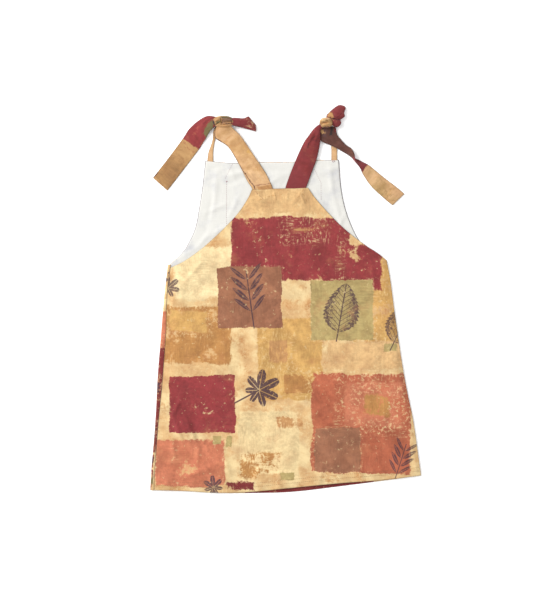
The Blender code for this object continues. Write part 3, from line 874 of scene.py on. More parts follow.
def cloth_tube(tie, material):
    """A hollow, flattened tube of cloth, sewn shut at both ends, and its length."""
    steps = (len(tie.rows) - 1) * TUBE_STEPS_PER_ROW
    distances = distances_along(tie.rows)
    folds = [Fold(crease.across, crease.along, 90.0 + crease.angle, *crease[3:]) for crease in tie.creases]

    def place(around, part):
        return tube_point(tie, part, around, distances, folds)

    cloth = bmesh.new()
    add_grid(cloth, TUBE_COLUMNS, steps, place, (CUT, EDGE))
    bmesh.ops.remove_doubles(cloth, verts=cloth.verts[:], dist=MERGE_DISTANCE * MM)
    rim = [edge for edge in cloth.edges if edge.is_boundary]
    bmesh.ops.holes_fill(cloth, edges=rim, sides=0)
    bmesh.ops.recalc_face_normals(cloth, faces=cloth.faces[:])
    return finish_cloth(cloth, tie.node, material, tie.slot, TUBE_WALL), distances[-1]


def knot_cloth(tied, material):
    """The tie's cloth wrapped round the knot: a rounded hollow lump with folds, flat where it rests."""
    knot = tied.knot
    form = bmesh.new()
    layer = form.loops.layers.uv.new(CUT)
    bmesh.ops.create_uvsphere(form, u_segments=KNOT_SEGMENTS, v_segments=KNOT_RINGS, radius=1.0)
    for point in form.verts:
        x = knot.x + eased(point.co.x, KNOT_SQUARENESS) * knot.half_x
        y = knot.y + eased(point.co.y, KNOT_SQUARENESS) * knot.half_y
        z = knot.z + eased(point.co.z, KNOT_SQUARENESS) * knot.half_z
        z += fold_rise(x, y, tied.folds) * smooth_between(KNOT_FOLDS_START, KNOT_FOLDS_FULL, point.co.z)
        point.co = Vector((x, y, max(z, 0.0))) * MM
    for face in form.faces:
        for corner in face.loops:
            corner[layer].uv = (corner.vert.co.x - knot.x * MM, corner.vert.co.y - knot.y * MM)
    bmesh.ops.recalc_face_normals(form, faces=form.faces[:])
    return finish_cloth(form, tied.node, material, TAN_SLOT, TUBE_WALL)


def add_stitch(builder, start, end, thickness):
    """One stitch: a short rounded length of thread from start to end."""
    run = end - start
    turn = run.to_track_quat("X", "Z").to_matrix().to_4x4()
    size = Matrix.Diagonal((run.length, thickness, thickness, 1.0))
    middle = Matrix.Translation((start + end) / 2)
    bmesh.ops.create_icosphere(builder, subdivisions=1, radius=0.5, matrix=middle @ turn @ size)


def add_stitch_line(builder, path, length, height):
    """Stitches along a path, which gives x and y at a part of the way; height gives the cloth's face."""
    count = round(length / STITCH_PITCH)
    for index in range(count):
        middle = (index + 0.5) / count
        reach = STITCH_LENGTH / STITCH_PITCH / count / 2
        ends = []
        for part in (middle - reach, middle + reach):
            x, y = path(part)
            ends.append(Vector((x, y, height(x, y))) * MM)
        add_stitch(builder, ends[0], ends[1], THREAD * MM)


def straight_path(start, end):
    def path(part):
        return mix(start[0], end[0], part), mix(start[1], end[1], part)

    return path


def path_above_hem(start_x, end_x, rise):
    def path(part):
        x = mix(start_x, end_x, part)
        return x, front_hem_y(x) + rise

    return path


def front_hem_stitches(material):
    """Two rows of stitches along the front's doubled hem."""
    left, right = front_edges(0.0)
    start_x = left[0] + HEM_STITCH_LEFT_INSET
    end_x = right[0] - HEM_STITCH_RIGHT_INSET

    def height(x, y):
        return front_height(x, y, 0.0, right[0])

    builder = bmesh.new()
    for rise in HEM_STITCH_RISES:
        add_stitch_line(builder, path_above_hem(start_x, end_x, rise), end_x - start_x, height)
    return finish_piece(builder, "front_hem_stitches", material)


# Seam lines and tacks that show on the lining
ThreadLine = namedtuple("ThreadLine", "start_x start_y end_x end_y")

LINING_SEAM_LINES = table(
    ThreadLine,
    (-67.2, 172.9, -77.4, 153.1),
    (-75.4, 149.5, -75.4, 92.5),
    (33.6, 171, 45.1, 148),
    (45.1, 148, 45.1, 126),
)
LINING_TACKS = table(
    ThreadLine,
    (-76.2, 150.4, -74, 149.2),
    (-76.2, 149.4, -74, 150.2),
    (58.6, 177, 61.2, 173.6),
    (60.4, 177.4, 63, 174.6),
)


def lining_stitches(material):
    """Stitch lines of the lining's seams, and thicker tacks where they end."""

    def height(x, y):
        return lining_height(x, y, LINING_SHOWN_LEVEL)

    builder = bmesh.new()
    for line in LINING_SEAM_LINES:
        start, end = line[:2], line[2:]
        add_stitch_line(builder, straight_path(start, end), math.dist(start, end), height)
    for tack in LINING_TACKS:
        start, end = (Vector((x, y, height(x, y) + TACK_LIFT)) * MM for x, y in (tack[:2], tack[2:]))
        add_stitch(builder, start, end, TACK_THREAD * MM)
    return finish_piece(builder, "lining_stitches", material)


class Nodes:
    """Adds nodes to one tree. An input is given as a value or as another node's output."""

    def __init__(self, tree):
        self.tree = tree

    def feed(self, socket, value):
        if isinstance(value, bpy.types.NodeSocket):
            self.tree.links.new(value, socket)
        else:
            socket.default_value = value

    def add(self, kind, inputs=None, **settings):
        node = self.tree.nodes.new(kind)
        node.location = (180.0 * len(self.tree.nodes), 0.0)
        for name, value in settings.items():
            setattr(node, name, value)
        for name, value in (inputs or {}).items():
            self.feed(node.inputs[name], value)
        return node

    def number(self, operation, *values, clamp=False):
        node = self.add("ShaderNodeMath", operation=operation, use_clamp=clamp)
        for socket, value in zip(node.inputs, values):
            self.feed(socket, value)
        return node.outputs[0]

    def times(self, first, second, clamp=False):
        return self.number("MULTIPLY", first, second, clamp=clamp)

    def plus(self, first, second):
        return self.number("ADD", first, second)

    def minus(self, first, second, clamp=False):
        return self.number("SUBTRACT", first, second, clamp=clamp)

    def times_plus(self, value, factor, more):
        return self.number("MULTIPLY_ADD", value, factor, more)

    def larger(self, first, second):
        return self.number("MAXIMUM", first, second)

    def unsigned(self, value):
        return self.number("ABSOLUTE", value)

    def vector(self, operation, *values):
        node = self.add("ShaderNodeVectorMath", operation=operation)
        for socket, value in zip(node.inputs, values):
            self.feed(socket, value)
        return node.outputs["Vector"]

    def scaled(self, vector, scale):
        node = self.add("ShaderNodeVectorMath", {"Scale": scale}, operation="SCALE")
        self.feed(node.inputs[0], vector)
        return node.outputs["Vector"]

    def axes(self, vector):
        parts = self.add("ShaderNodeSeparateXYZ", {"Vector": vector}).outputs
        return parts["X"], parts["Y"]

    def turned(self, vector, centre, angle):
        """The vector from centre, turned by minus the angle."""
        back = self.times(angle, -1.0)
        inputs = {"Vector": self.vector("SUBTRACT", vector, centre), "Angle": back}
        return self.add("ShaderNodeVectorRotate", inputs, rotation_type="Z_AXIS").outputs["Vector"]

    def noise(self, vector, scale, detail=3.0, roughness=0.55, output=0):
        inputs = {"Vector": vector, "Scale": scale, "Detail": detail, "Roughness": roughness}
        return self.add("ShaderNodeTexNoise", inputs).outputs[output]

    def step(self, value, start, end, low=0.0, high=1.0):
        """Low below start, high past end, and a soft step between them."""
        inputs = {"Value": value, "From Min": start, "From Max": end, "To Min": low, "To Max": high}
        return self.add("ShaderNodeMapRange", inputs, interpolation_type="SMOOTHSTEP").outputs[0]

    def fading(self, value, full, none):
        """1 below full and 0 past none."""
        return self.step(value, full, none, 1.0, 0.0)

    def mixed(self, share, first, second):
        """A number between the first and the second."""
        return self.times_plus(share, self.minus(second, first), first)

    def blend(self, share, under, over, mode="MIX"):
        node = self.add("ShaderNodeMix", data_type="RGBA", blend_type=mode)
        for index, value in ((0, share), (6, under), (7, over)):
            self.feed(node.inputs[index], value)
        return node.outputs[2]

    def toned(self, colour, tone):
        """The colour, darker where the tone is below 1 and lighter where it is above."""
        parts = dict.fromkeys(("Red", "Green", "Blue"), tone)
        grey = self.add("ShaderNodeCombineColor", parts).outputs[0]
        return self.blend(1.0, colour, grey, "MULTIPLY")

    def group(self, tree, inputs):
        node = self.add("ShaderNodeGroup", node_tree=tree)
        for name, value in inputs.items():
            self.feed(node.inputs[name], value)
        return node.outputs


def new_group(name, inputs, outputs):
    """A node group with named inputs and outputs; gives its tree, its node adder, inputs and outputs."""
    tree = bpy.data.node_groups.new(name, "ShaderNodeTree")
    for label, kind, value in inputs:
        socket = tree.interface.new_socket(name=label, in_out="INPUT", socket_type=f"NodeSocket{kind}")
        socket.default_value = value
    for label, kind in outputs:
        tree.interface.new_socket(name=label, in_out="OUTPUT", socket_type=f"NodeSocket{kind}")
    nodes = Nodes(tree)
    given = nodes.add("NodeGroupInput").outputs
    result = nodes.add("NodeGroupOutput").inputs
    return tree, nodes, given, result


NOWHERE = (0.0, 0.0, 0.0)
GREY = (0.5, 0.5, 0.5, 1.0)
PLACE = ("Place", "Vector", NOWHERE)
COLOUR = ("Colour", "Color")
PATCH_INPUTS = (
    ("Ragged place", "Vector", NOWHERE),
    ("Streaks", "Float", 0.5),
    ("Blotches", "Float", 0.5),
    ("Under", "Color", GREY),
    ("Paint", "Color", GREY),
    ("Edge flecks", "Color", GREY),
    ("Centre", "Vector", NOWHERE),
    ("Half size", "Vector", (0.01, 0.01, 0.0)),
    ("Turn", "Float", 0.0),
    ("Fade", "Float", 0.003),
    ("Dryness", "Float", 0.5),
    ("Wear", "Float", 0.2),
)
LEAF_INPUTS = (
    PLACE,
    ("Streaks", "Float", 0.5),
    ("Under", "Color", GREY),
    ("Ink", "Color", GREY),
    ("Centre", "Vector", NOWHERE),
    ("Turn", "Float", 0.0),
    ("Size", "Float", 0.03),
    ("Strength", "Float", 0.9),
)


def brushwork_group():
    """Ragged places for the edges of painted shapes, and streaks left by a dry brush."""
    tree, nodes, given, result = new_group(
        "brushwork", (PLACE,), (("Ragged place", "Vector"), ("Streaks", "Float"), ("Blotches", "Float"))
    )
    place = given["Place"]
    middle = (0.5, 0.5, 0.5)
    wander = nodes.vector("SUBTRACT", nodes.noise(place, 38.0, 4.0, 0.6, 1), middle)
    fray = nodes.vector("SUBTRACT", nodes.noise(place, 420.0, 3.0, 0.7, 1), middle)
    ragged = nodes.vector("ADD", place, nodes.scaled(wander, 0.009))
    ragged = nodes.vector("ADD", ragged, nodes.scaled(fray, 0.0032))
    upright = nodes.noise(nodes.vector("MULTIPLY", place, (480.0, 90.0, 1.0)), 1.0, 4.0, 0.72)
    level = nodes.noise(nodes.vector("MULTIPLY", place, (90.0, 480.0, 1.0)), 1.0, 4.0, 0.72)
    sponge = nodes.noise(place, 230.0, 5.0, 0.75)
    way = nodes.step(nodes.noise(place, 16.0, 2.0), 0.46, 0.62)
    streaks = nodes.mixed(way, upright, level)
    streaks = nodes.mixed(nodes.step(nodes.noise(place, 23.0, 3.0), 0.4, 0.56), streaks, sponge)
    nodes.feed(result["Ragged place"], ragged)
    nodes.feed(result["Streaks"], streaks)
    nodes.feed(result["Blotches"], nodes.noise(place, 26.0, 5.0, 0.62))
    return tree


def painted_patch_group():
    """A rectangle of paint with ragged edges, thin where the brush ran dry."""
    tree, nodes, given, result = new_group("painted patch", PATCH_INPUTS, (COLOUR,))
    local = nodes.turned(given["Ragged place"], given["Centre"], given["Turn"])
    beyond = nodes.vector("SUBTRACT", nodes.vector("ABSOLUTE", local), given["Half size"])
    across, along = nodes.axes(beyond)
    outside = nodes.larger(across, along)
    depth = nodes.number("DIVIDE", nodes.times(outside, -1.0), given["Fade"])
    thinned = nodes.times(given["Streaks"], given["Dryness"])
    worn = nodes.times(nodes.step(given["Blotches"], 0.46, 0.68), given["Wear"])
    thinned = nodes.plus(thinned, worn)
    load = nodes.minus(nodes.number("MINIMUM", depth, 1.0), thinned)
    cover = nodes.step(load, 0.0, 0.24)
    near_edge = nodes.times(nodes.step(depth, -0.6, 0.1), nodes.fading(depth, 0.3, 1.1))
    fleck = nodes.times(nodes.step(given["Streaks"], 0.5, 0.62, 0.0, 0.6), near_edge)
    tone = nodes.times_plus(given["Streaks"], 0.5, nodes.times(given["Blotches"], 0.5))
    tone = nodes.step(tone, 0.37, 0.61, 0.78, 1.14)
    painted = nodes.blend(cover, given["Under"], nodes.toned(given["Paint"], tone))
    nodes.feed(result["Colour"], nodes.blend(fleck, painted, given["Edge flecks"]))
    return tree


def leaf_frame(nodes, given):
    """A leaf's own coordinates: -1 at its base to 1 at its tip, across it, and the distance to its midrib."""
    local = nodes.turned(given["Place"], given["Centre"], given["Turn"])
    local = nodes.scaled(local, nodes.number("DIVIDE", 1.0, given["Size"]))
    along, across = nodes.axes(local)
    return local, along, across, nodes.unsigned(across)


def between(nodes, value, low, high):
    """1 where the value lies between low and high."""
    return nodes.times(nodes.number("GREATER_THAN", value, low), nodes.number("LESS_THAN", value, high))


def stalk_print(nodes, along, off, base, tip, width):
    """A thin line from base to tip, whose ink ends between half its width and its width."""
    return nodes.times(nodes.fading(off, *width), between(nodes, along, base, tip))


def worn_print(nodes, given, mask):
    """The print, thin where the brush ran dry."""
    return nodes.times(mask, nodes.step(given["Streaks"], 0.56, 0.7, 1.0, 0.25))


def inked(nodes, given, result, mask):
    ink = nodes.times(mask, given["Strength"], clamp=True)
    nodes.feed(result["Colour"], nodes.blend(ink, given["Under"], given["Ink"]))


def oval_leaf_group():
    """The print of an oval leaf: dark veins, and ink that is fuller towards its toothed edge."""
    tree, nodes, given, result = new_group("oval leaf", LEAF_INPUTS, (COLOUR,))
    local, along, across, off = leaf_frame(nodes, given)
    round_off = nodes.minus(1.0, nodes.times(along, along), clamp=True)
    width = nodes.number("POWER", round_off, 0.62)
    width = nodes.times(width, nodes.times_plus(along, -0.24, 0.7))
    tooth = nodes.number("FRACT", nodes.times(along, 7.0))
    width = nodes.times(width, nodes.times_plus(tooth, -0.14, 1.05))
    reach = nodes.number("DIVIDE", off, nodes.larger(width, 0.001))
    inside = nodes.fading(reach, 0.96, 1.04)
    climb = nodes.times_plus(off, -0.85, along)
    vein_place = nodes.number("PINGPONG", nodes.times(climb, 5.2), 0.5)
    side_vein = nodes.fading(vein_place, 0.04, 0.1)
    fine_place = nodes.times_plus(off, 1.3, along)
    fine_place = nodes.number("PINGPONG", nodes.times(fine_place, 13.0), 0.5)
    veins = nodes.larger(side_vein, nodes.step(fine_place, 0.05, 0.14, 0.5, 0.0))
    grain = nodes.noise(local, 9.0, 5.0, 0.75)
    body = nodes.step(nodes.times_plus(reach, 0.3, grain), 0.62, 0.76)
    blade = nodes.times(nodes.larger(veins, body), inside)
    stalk = stalk_print(nodes, along, off, -1.42, 0.95, (0.016, 0.034))
    inked(nodes, given, result, worn_print(nodes, given, nodes.larger(blade, stalk)))
    return tree


def sprig_group():
    """The print of a sprig: pairs of narrow leaflets that slant from a thin stem."""
    tree, nodes, given, result = new_group("sprig", LEAF_INPUTS, (COLOUR,))
    local, along, across, off = leaf_frame(nodes, given)
    slant = nodes.times_plus(off, -0.95, along)
    cell = nodes.minus(nodes.number("FRACT", nodes.times(slant, 2.6)), 0.5)
    on_leaf = nodes.times(nodes.minus(off, 0.31), 3.4)
    span = nodes.minus(1.0, nodes.times(on_leaf, on_leaf), clamp=True)
    taper = nodes.times_plus(nodes.times(slant, slant), -0.3, 0.4)
    width = nodes.times(span, taper)
    gap = nodes.minus(nodes.unsigned(cell), width)
    leaflet = nodes.times(nodes.fading(gap, -0.05, 0.0), between(nodes, slant, -0.77, 0.77))
    rib = nodes.step(nodes.unsigned(cell), 0.03, 0.07, 0.45, 1.0)
    grain = nodes.step(nodes.noise(local, 8.0, 5.0, 0.75), 0.36, 0.48, 0.4, 1.0)
    leaflet = nodes.times(leaflet, nodes.times(rib, grain))
    stem = stalk_print(nodes, along, off, -1.2, 0.95, (0.014, 0.03))
    inked(nodes, given, result, worn_print(nodes, given, nodes.larger(leaflet, stem)))
    return tree


def fan_leaf_group():
    """The print of a leaf with seven pointed lobes, inked nearly solid, with pale veins."""
    tree, nodes, given, result = new_group("fan leaf", LEAF_INPUTS, (COLOUR,))
    local, along, across, off = leaf_frame(nodes, given)
    distance = nodes.add("ShaderNodeVectorMath", operation="LENGTH")
    nodes.feed(distance.inputs[0], local)
    far = distance.outputs["Value"]
    turn = nodes.number("ARCTAN2", across, along)
    wave = nodes.unsigned(nodes.number("COSINE", nodes.times(turn, 3.5)))
    lobe = nodes.times_plus(wave, 0.55, 0.36)
    front = nodes.times_plus(nodes.number("COSINE", turn), 0.2, 0.82)
    ragged = nodes.times_plus(nodes.noise(local, 7.0, 3.0, 0.6), 0.24, -0.12)
    edge = nodes.plus(nodes.times(lobe, front), ragged)
    blade = nodes.fading(nodes.minus(far, edge), -0.03, 0.02)
    vein = nodes.unsigned(nodes.number("SINE", nodes.times(turn, 3.5)))
    vein = nodes.times(vein, far)
    blade = nodes.times(blade, nodes.step(vein, 0.03, 0.08, 0.35, 1.0))
    blade = nodes.times(blade, nodes.step(nodes.noise(local, 10.0, 4.0, 0.7), 0.34, 0.44, 0.2, 1.0))
    stalk = stalk_print(nodes, along, off, -1.15, 0.0, (0.02, 0.045))
    inked(nodes, given, result, nodes.larger(blade, stalk))
    return tree


def plain_weave_group():
    """Threads over and under: the height of the weave, and a tone that varies from thread to thread."""
    tree, nodes, given, result = new_group(
        "plain weave", (PLACE, ("Threads", "Float", 2600.0)), (("Height", "Float"), ("Tone", "Float"))
    )
    across, along = nodes.axes(nodes.scaled(given["Place"], given["Threads"]))
    warp = nodes.number("SINE", nodes.times(across, math.pi))
    weft = nodes.number("SINE", nodes.times(along, math.pi))
    weave = nodes.times_plus(nodes.times(warp, weft), 0.5, 0.5)
    slub_up = nodes.noise(nodes.vector("MULTIPLY", given["Place"], (2600.0, 60.0, 1.0)), 1.0, 2.0)
    slub_across = nodes.noise(nodes.vector("MULTIPLY", given["Place"], (60.0, 2600.0, 1.0)), 1.0, 2.0)
    tone = nodes.times(nodes.plus(slub_up, slub_across), 0.5)
    nodes.feed(result["Height"], nodes.times_plus(tone, 0.8, weave))
    nodes.feed(result["Tone"], tone)
    return tree


GROUPS = {
    "brushwork": brushwork_group(),
    "patch": painted_patch_group(),
    "oval": oval_leaf_group(),
    "sprig": sprig_group(),
    "fan": fan_leaf_group(),
    "weave": plain_weave_group(),
}


def cotton_surface(nodes, place, colour, shader, bump_strength, sheen):
    """Ends a cotton's tree: thread tone in the colour, roughness that varies, and the weave as relief."""
    weave = nodes.group(GROUPS["weave"], {"Place": place})
    tone = nodes.step(weave["Tone"], 0.3, 0.7, 0.93, 1.04)
    nodes.feed(shader.inputs["Base Color"], nodes.toned(colour, tone))
    nodes.feed(shader.inputs["Roughness"], nodes.step(nodes.noise(place, 90.0), 0.3, 0.7, 0.78, 0.9))
    shader.inputs["Specular IOR Level"].default_value = 0.25
    shader.inputs["Sheen Weight"].default_value = sheen
    shader.inputs["Sheen Roughness"].default_value = 0.6
    add_relief(nodes, shader, weave["Height"], bump_strength, WEAVE_DEPTH)


def add_relief(nodes, shader, height, strength, depth):
    inputs = {"Height": height, "Strength": strength, "Distance": depth * MM}
    nodes.feed(shader.inputs["Normal"], nodes.add("ShaderNodeBump", inputs).outputs["Normal"])


def new_material(name):
    material = bpy.data.materials.new(name)
    material.use_nodes = True
    shader = material.node_tree.nodes["Principled BSDF"]
    return material, Nodes(material.node_tree), shader


def painted_cotton(name, ground, patches, leaves, flecks, edge_tone):
    """Cotton with painted patches and leaves over a ground of three shades, with painted shade at its turned
    edges.
    """
    material, nodes, shader = new_material(name)
    place = nodes.add("ShaderNodeUVMap", uv_map=CUT).outputs["UV"]
    brush = nodes.group(GROUPS["brushwork"], {"Place": place})
    light, middle, dark = (linear(shade) for shade in ground)
    colour = nodes.blend(nodes.step(brush["Blotches"], 0.4, 0.58), light, middle)
    blotch = nodes.noise(place, 47.0, 5.0, 0.65)
    dabs = nodes.times_plus(brush["Streaks"], 0.6, blotch)
    colour = nodes.blend(nodes.step(dabs, 0.82, 0.98), colour, dark)
    for patch in patches:
        inputs = {
            "Ragged place": brush["Ragged place"],
            "Streaks": brush["Streaks"],
            "Blotches": brush["Blotches"],
            "Under": colour,
            "Paint": linear(patch.paint),
            "Edge flecks": linear("cream" if flecks else patch.paint),
            "Centre": (patch.x * MM, patch.y * MM, 0.0),
            "Half size": (patch.half_x * MM, patch.half_y * MM, 1.0),
            "Turn": math.radians(patch.turn),
            "Fade": patch.fade * MM,
            "Dryness": patch.dryness,
            "Wear": patch.wear,
        }
        colour = nodes.group(GROUPS["patch"], inputs)["Colour"]
    for leaf in leaves:
        inputs = {
            "Place": place,
            "Streaks": brush["Streaks"],
            "Under": colour,
            "Ink": linear(leaf.paint),
            "Centre": (leaf.x * MM, leaf.y * MM, 0.0),
            "Turn": math.radians(leaf.turn),
            "Size": leaf.size * MM,
            "Strength": leaf.strength,
        }
        colour = nodes.group(GROUPS[leaf.kind], inputs)["Colour"]
    if flecks:
        grouped = nodes.times(blotch, 0.35)
        fleck = nodes.times_plus(nodes.noise(place, 170.0, 5.0, 0.7), 0.8, grouped)
        colour = nodes.blend(nodes.step(fleck, 0.65, 0.75, 0.0, 0.65), colour, linear("cream"))
    glaze = nodes.noise(place, 33.0, 5.0, 0.68)
    colour = nodes.blend(nodes.step(glaze, 0.52, 0.72, 0.0, 0.34), colour, linear("glaze"))
    wash = nodes.noise(place, 60.0, 5.0, 0.66)
    tint = nodes.blend(nodes.step(wash, 0.34, 0.64), (0.86, 0.8, 0.77, 1.0), (1.08, 1.07, 1.06, 1.0))
    colour = nodes.blend(1.0, colour, tint, "MULTIPLY")
    # Painted shade: the colour darkens within a short reach of each turned edge, for the shading of the rolled
    # edge.
    if edge_tone < 1.0:
        to_edge = nodes.axes(nodes.add("ShaderNodeUVMap", uv_map=EDGE).outputs["UV"])[0]
        colour = nodes.toned(colour, nodes.step(to_edge, 0.0, EDGE_SHADE_REACH * MM, edge_tone, 1.0))
    cotton_surface(nodes, place, colour, shader, 0.35, 0.08)
    return material


def lining_cotton():
    """White cotton with soft patches of painted shade, a little cooler and greyer, for the shadows of its
    wrinkles.
    """
    material, nodes, shader = new_material("lining cotton")
    place = nodes.add("ShaderNodeUVMap", uv_map=CUT).outputs["UV"]
    # Painted shade: cooler grey patches stand for the shadows of the lining's wrinkles.
    shadow = nodes.step(nodes.noise(place, 34.0, 4.0, 0.55), 0.45, 0.75)
    colour = nodes.blend(shadow, linear("white"), linear("shaded white"))
    cotton_surface(nodes, place, colour, shader, 0.3, 0.05)
    return material


def thread_material(name, shade):
    """Sewing thread: twisted, with a soft sheen."""
    material, nodes, shader = new_material(name)
    place = nodes.add("ShaderNodeTexCoord").outputs["Object"]
    twist = nodes.noise(place, 2200.0, 2.0)
    colour = nodes.blend(nodes.step(twist, 0.35, 0.65, 0.0, 0.35), linear(shade), linear("dark brown"))
    nodes.feed(shader.inputs["Base Color"], colour)
    nodes.feed(shader.inputs["Roughness"], nodes.step(twist, 0.3, 0.7, 0.5, 0.65))
    add_relief(nodes, shader, twist, 0.4, TWIST_DEPTH)
    return material


# Painted patches and leaves on each piece's flat cut; on a strap x runs round it and y along it.
# A patch thins out over its fade at the edges. Dryness is what the brush leaves bare, wear what is rubbed off.
Patch = namedtuple("Patch", "x y half_x half_y turn paint fade dryness wear", defaults=(0.15,))
Leaf = namedtuple("Leaf", "kind x y turn size paint strength")

FRONT_GROUND = ("cream", "sand", "tan")
FRONT_PATCHES = table(
    Patch,
    (-104, 34, 50, 44, 2, "light cream", 16, 1),
    (120, 6, 40, 72, -4, "gold", 14, 1.2, 0.4),
    (4, 124, 64, 22, 0, "sand", 10, 1.1, 0.3),
    (-114, -46, 54, 46, -1, "ochre", 12, 1.2, 0.5),
    (-124, -28, 30, 20, -2, "gold", 9, 1.2, 0.4),
    (6, -76, 48, 60, 1, "gold", 10, 1.05, 0.4),
    (16, -108, 26, 19, 0, "ochre", 9, 1.35, 0.4),
    (-10, -66, 20, 22, 0, "tan", 10, 1.4, 0.3),
    (108, -72, 60, 23, 1, "sand", 9, 1, 0.3),
    (-22, -184, 46, 48, 0, "cream", 12, 1),
    (-32, -212, 38, 28, 2, "ochre", 14, 1.45, 0.4),
    (6, -158, 24, 14, 0, "tan", 9, 1.4, 0.3),
    (6, 64, 80, 45, -0.6, "crimson", 8, 0.85, 0.5),
    (98, 40, 30, 36, 2, "crimson", 10, 1, 0.5),
    (24, 88, 26, 14, 4, "tan", 14, 1.6),
    (96, -158, 68, 68, -1, "terracotta", 8, 0.85, 0.35),
    (112, -134, 46, 38, -1, "salmon", 12, 1.2, 0.4),
    (116, -136, 30, 26, -4, "ochre", 16, 1.35, 0.3),
    (66, -192, 31, 30, 0, "brown", 3, 0.8, 0.25),
    (-106, -134, 44, 39, 0.6, "crimson", 4, 0.8, 0.2),
    (-122, -210, 50, 36, 0, "salmon", 9, 1, 0.4),
    (-58, -238, 24, 11, 0, "deep red", 8, 1.2, 0.4),
    (-46, 2, 42, 40, 0.6, "brown", 2.6, 0.76, 0.3),
    (72, -14, 41, 39, 0.4, "olive", 2.6, 0.78, 0.2),
    (-88, -180, 6, 6, 1, "olive", 2, 0.8),
    (-72, -182, 5, 8, -1, "olive", 2, 0.9),
    (134, -62, 9, 6, 0, "olive", 2, 0.8),
    (2, -226, 10, 6, 2, "olive", 2, 0.9),
    # Painted shade: thin lines for the shadows of pressed creases along the bib's top.
    (-20, 130, 17, 0.8, 12, "ochre", 1, 0.9),
    (-34, 133, 8, 0.7, -42, "brown", 1, 0.8),
    (19, 134, 7, 0.7, 46, "ochre", 1, 0.8),
    (24, 129, 6, 0.7, -64, "ochre", 1, 0.8),
)
FRONT_LEAVES = table(
    Leaf,
    ("oval", 72, -11, 80, 31, "plum", 0.9),
    ("sprig", -46, 4, 98, 35, "plum", 0.9),
    ("fan", -34, -116, 28, 31, "plum", 0.95),
    ("oval", 150, -30, 64, 28, "plum", 0.85),
    ("sprig", 146, -208, 72, 26, "plum", 0.85),
    ("fan", -92, -240, 96, 17, "plum", 0.9),
    ("fan", -150, 14, 40, 18, "plum", 0.85),
)
BACK_GROUND = ("cream", "sand", "tan")
BACK_PATCHES = table(
    Patch,
    (-110, 30, 44, 34, 1, "gold", 8, 0.9),
    # Painted shade: a dull mauve block under the lining, so the back's thin strip beside its edges shows as a
    # shaded outline.
    (-16, 132, 124, 84, 0, "dusty mauve", 5, 0.8),
    (20, 108, 36, 40, -1, "crimson", 6, 0.85, 0.4),
    (30, -30, 60, 48, 0.6, "terracotta", 8, 0.85, 0.4),
    (-80, -70, 44, 52, -0.6, "crimson", 6, 0.8, 0.4),
    (112, -150, 36, 44, 0, "olive", 2.6, 0.78),
    (26, -34, 30, 28, 0.6, "brown", 2.6, 0.76, 0.3),
    (-20, 182, 70, 9, 0, "strap tan", 2, 0.7),
    (30, -236, 84, 22, 0, "deep red", 4, 0.7),
    (-160, -40, 14, 30, 0, "salmon", 8, 0.9),
    (-166, -158, 16, 102, 0, "deep red", 12, 0.9),
    (-166, -112, 12, 14, 8, "plum", 12, 1.1),
    (-168, -176, 12, 20, 0, "dark brown", 14, 1.1),
    (-172, -206, 12, 14, -6, "plum", 14, 1.2),
    (-174, -232, 12, 13, 0, "dull olive", 14, 1.1),
    (-156, 30, 8, 16, 5, "plum", 10, 1.2),
)
BACK_LEAVES = table(
    Leaf,
    ("sprig", 26, -34, 84, 26, "plum", 0.85),
    ("oval", 112, -150, 96, 30, "plum", 0.85),
    ("fan", -30, -170, 200, 28, "plum", 0.95),
)
STRAP_GROUND = ("strap sand", "strap tan", "tan")
RED_GROUND = ("strap red", "deep red", "deep red")
LEFT_TAIL_GROUND = ("strap tan", "tail tan", "tail brown")
RIGHT_TAIL_GROUND = ("strap sand", "tail olive", "strap tan")
LEFT_STRAP_PATCHES = table(
    Patch,
    (5, 52, 6, 8, 8, "gold", 6, 1.2),
    (-4, 24, 8, 12, 0, "strap sand", 6, 1),
    (2, 30, 8, 24, 2, "strap light", 12, 1),
    # Painted shade: a dark line in the crease along the strap's left side, and shade along its left edge near
    # the knot.
    (-8, 27, 1, 25, 5, "dark brown", 1, 0.8),
    (-10.4, 72, 2, 24, 0, "dark brown", 1.6, 0.8),
    # Painted shade: a darker tan band for the shadow where the strap meets the bib, and a brown line for a
    # crease above it.
    (4, 4.6, 9, 4.4, 0, "tan", 2.4, 0.8),
    (3, 9.4, 10, 0.7, 0, "brown", 0.8, 0.8),
)
LEFT_TAIL_PATCHES = table(
    Patch,
    (0, 92, 40, 38, 0, "tail brown", 34, 0.9),
    (0, 8, 60, 35, 6, "salmon", 5, 1),
    (0, 12, 60, 40, 6, "crimson", 6, 1.3, 0.35),
    (4, 4, 18, 30, 0, "deep red", 24, 1.2, 0.2),
    (-6, 15, 7, 9.5, 12, "dull olive", 3, 0.7),
    (-9.6, 34, 2.6, 9, 0, "salmon", 3, 1.1),
    (9, 106, 1.8, 6, 0, "dark brown", 1.6, 0.8),
)
LEFT_LOOP_PATCHES = table(
    Patch,
    # Pale flecks of the print, which also stand as a painted highlight at the loop's tip.
    (-2, 34, 7, 7, 0, "cream", 10, 1.3, 0.3),
)
RIGHT_STRAP_PATCHES = table(
    Patch,
    (-6, 52, 8, 28, 4, "crimson", 16, 0.8),
    # Painted shade: plum along the strap's right edge, away from the light.
    (9, 56, 3.4, 22, 4, "plum", 9, 0.8),
    (-7, 70, 3, 14, 4, "crimson", 4, 0.9),
    # Painted shade: dark lines for the shadow in the strap's crease.
    (-1.6, 65, 1.1, 10, -8, "dark crimson", 1.4, 0.8),
    (1.2, 69, 0.8, 7, -6, "dark crimson", 1.4, 0.9),
)
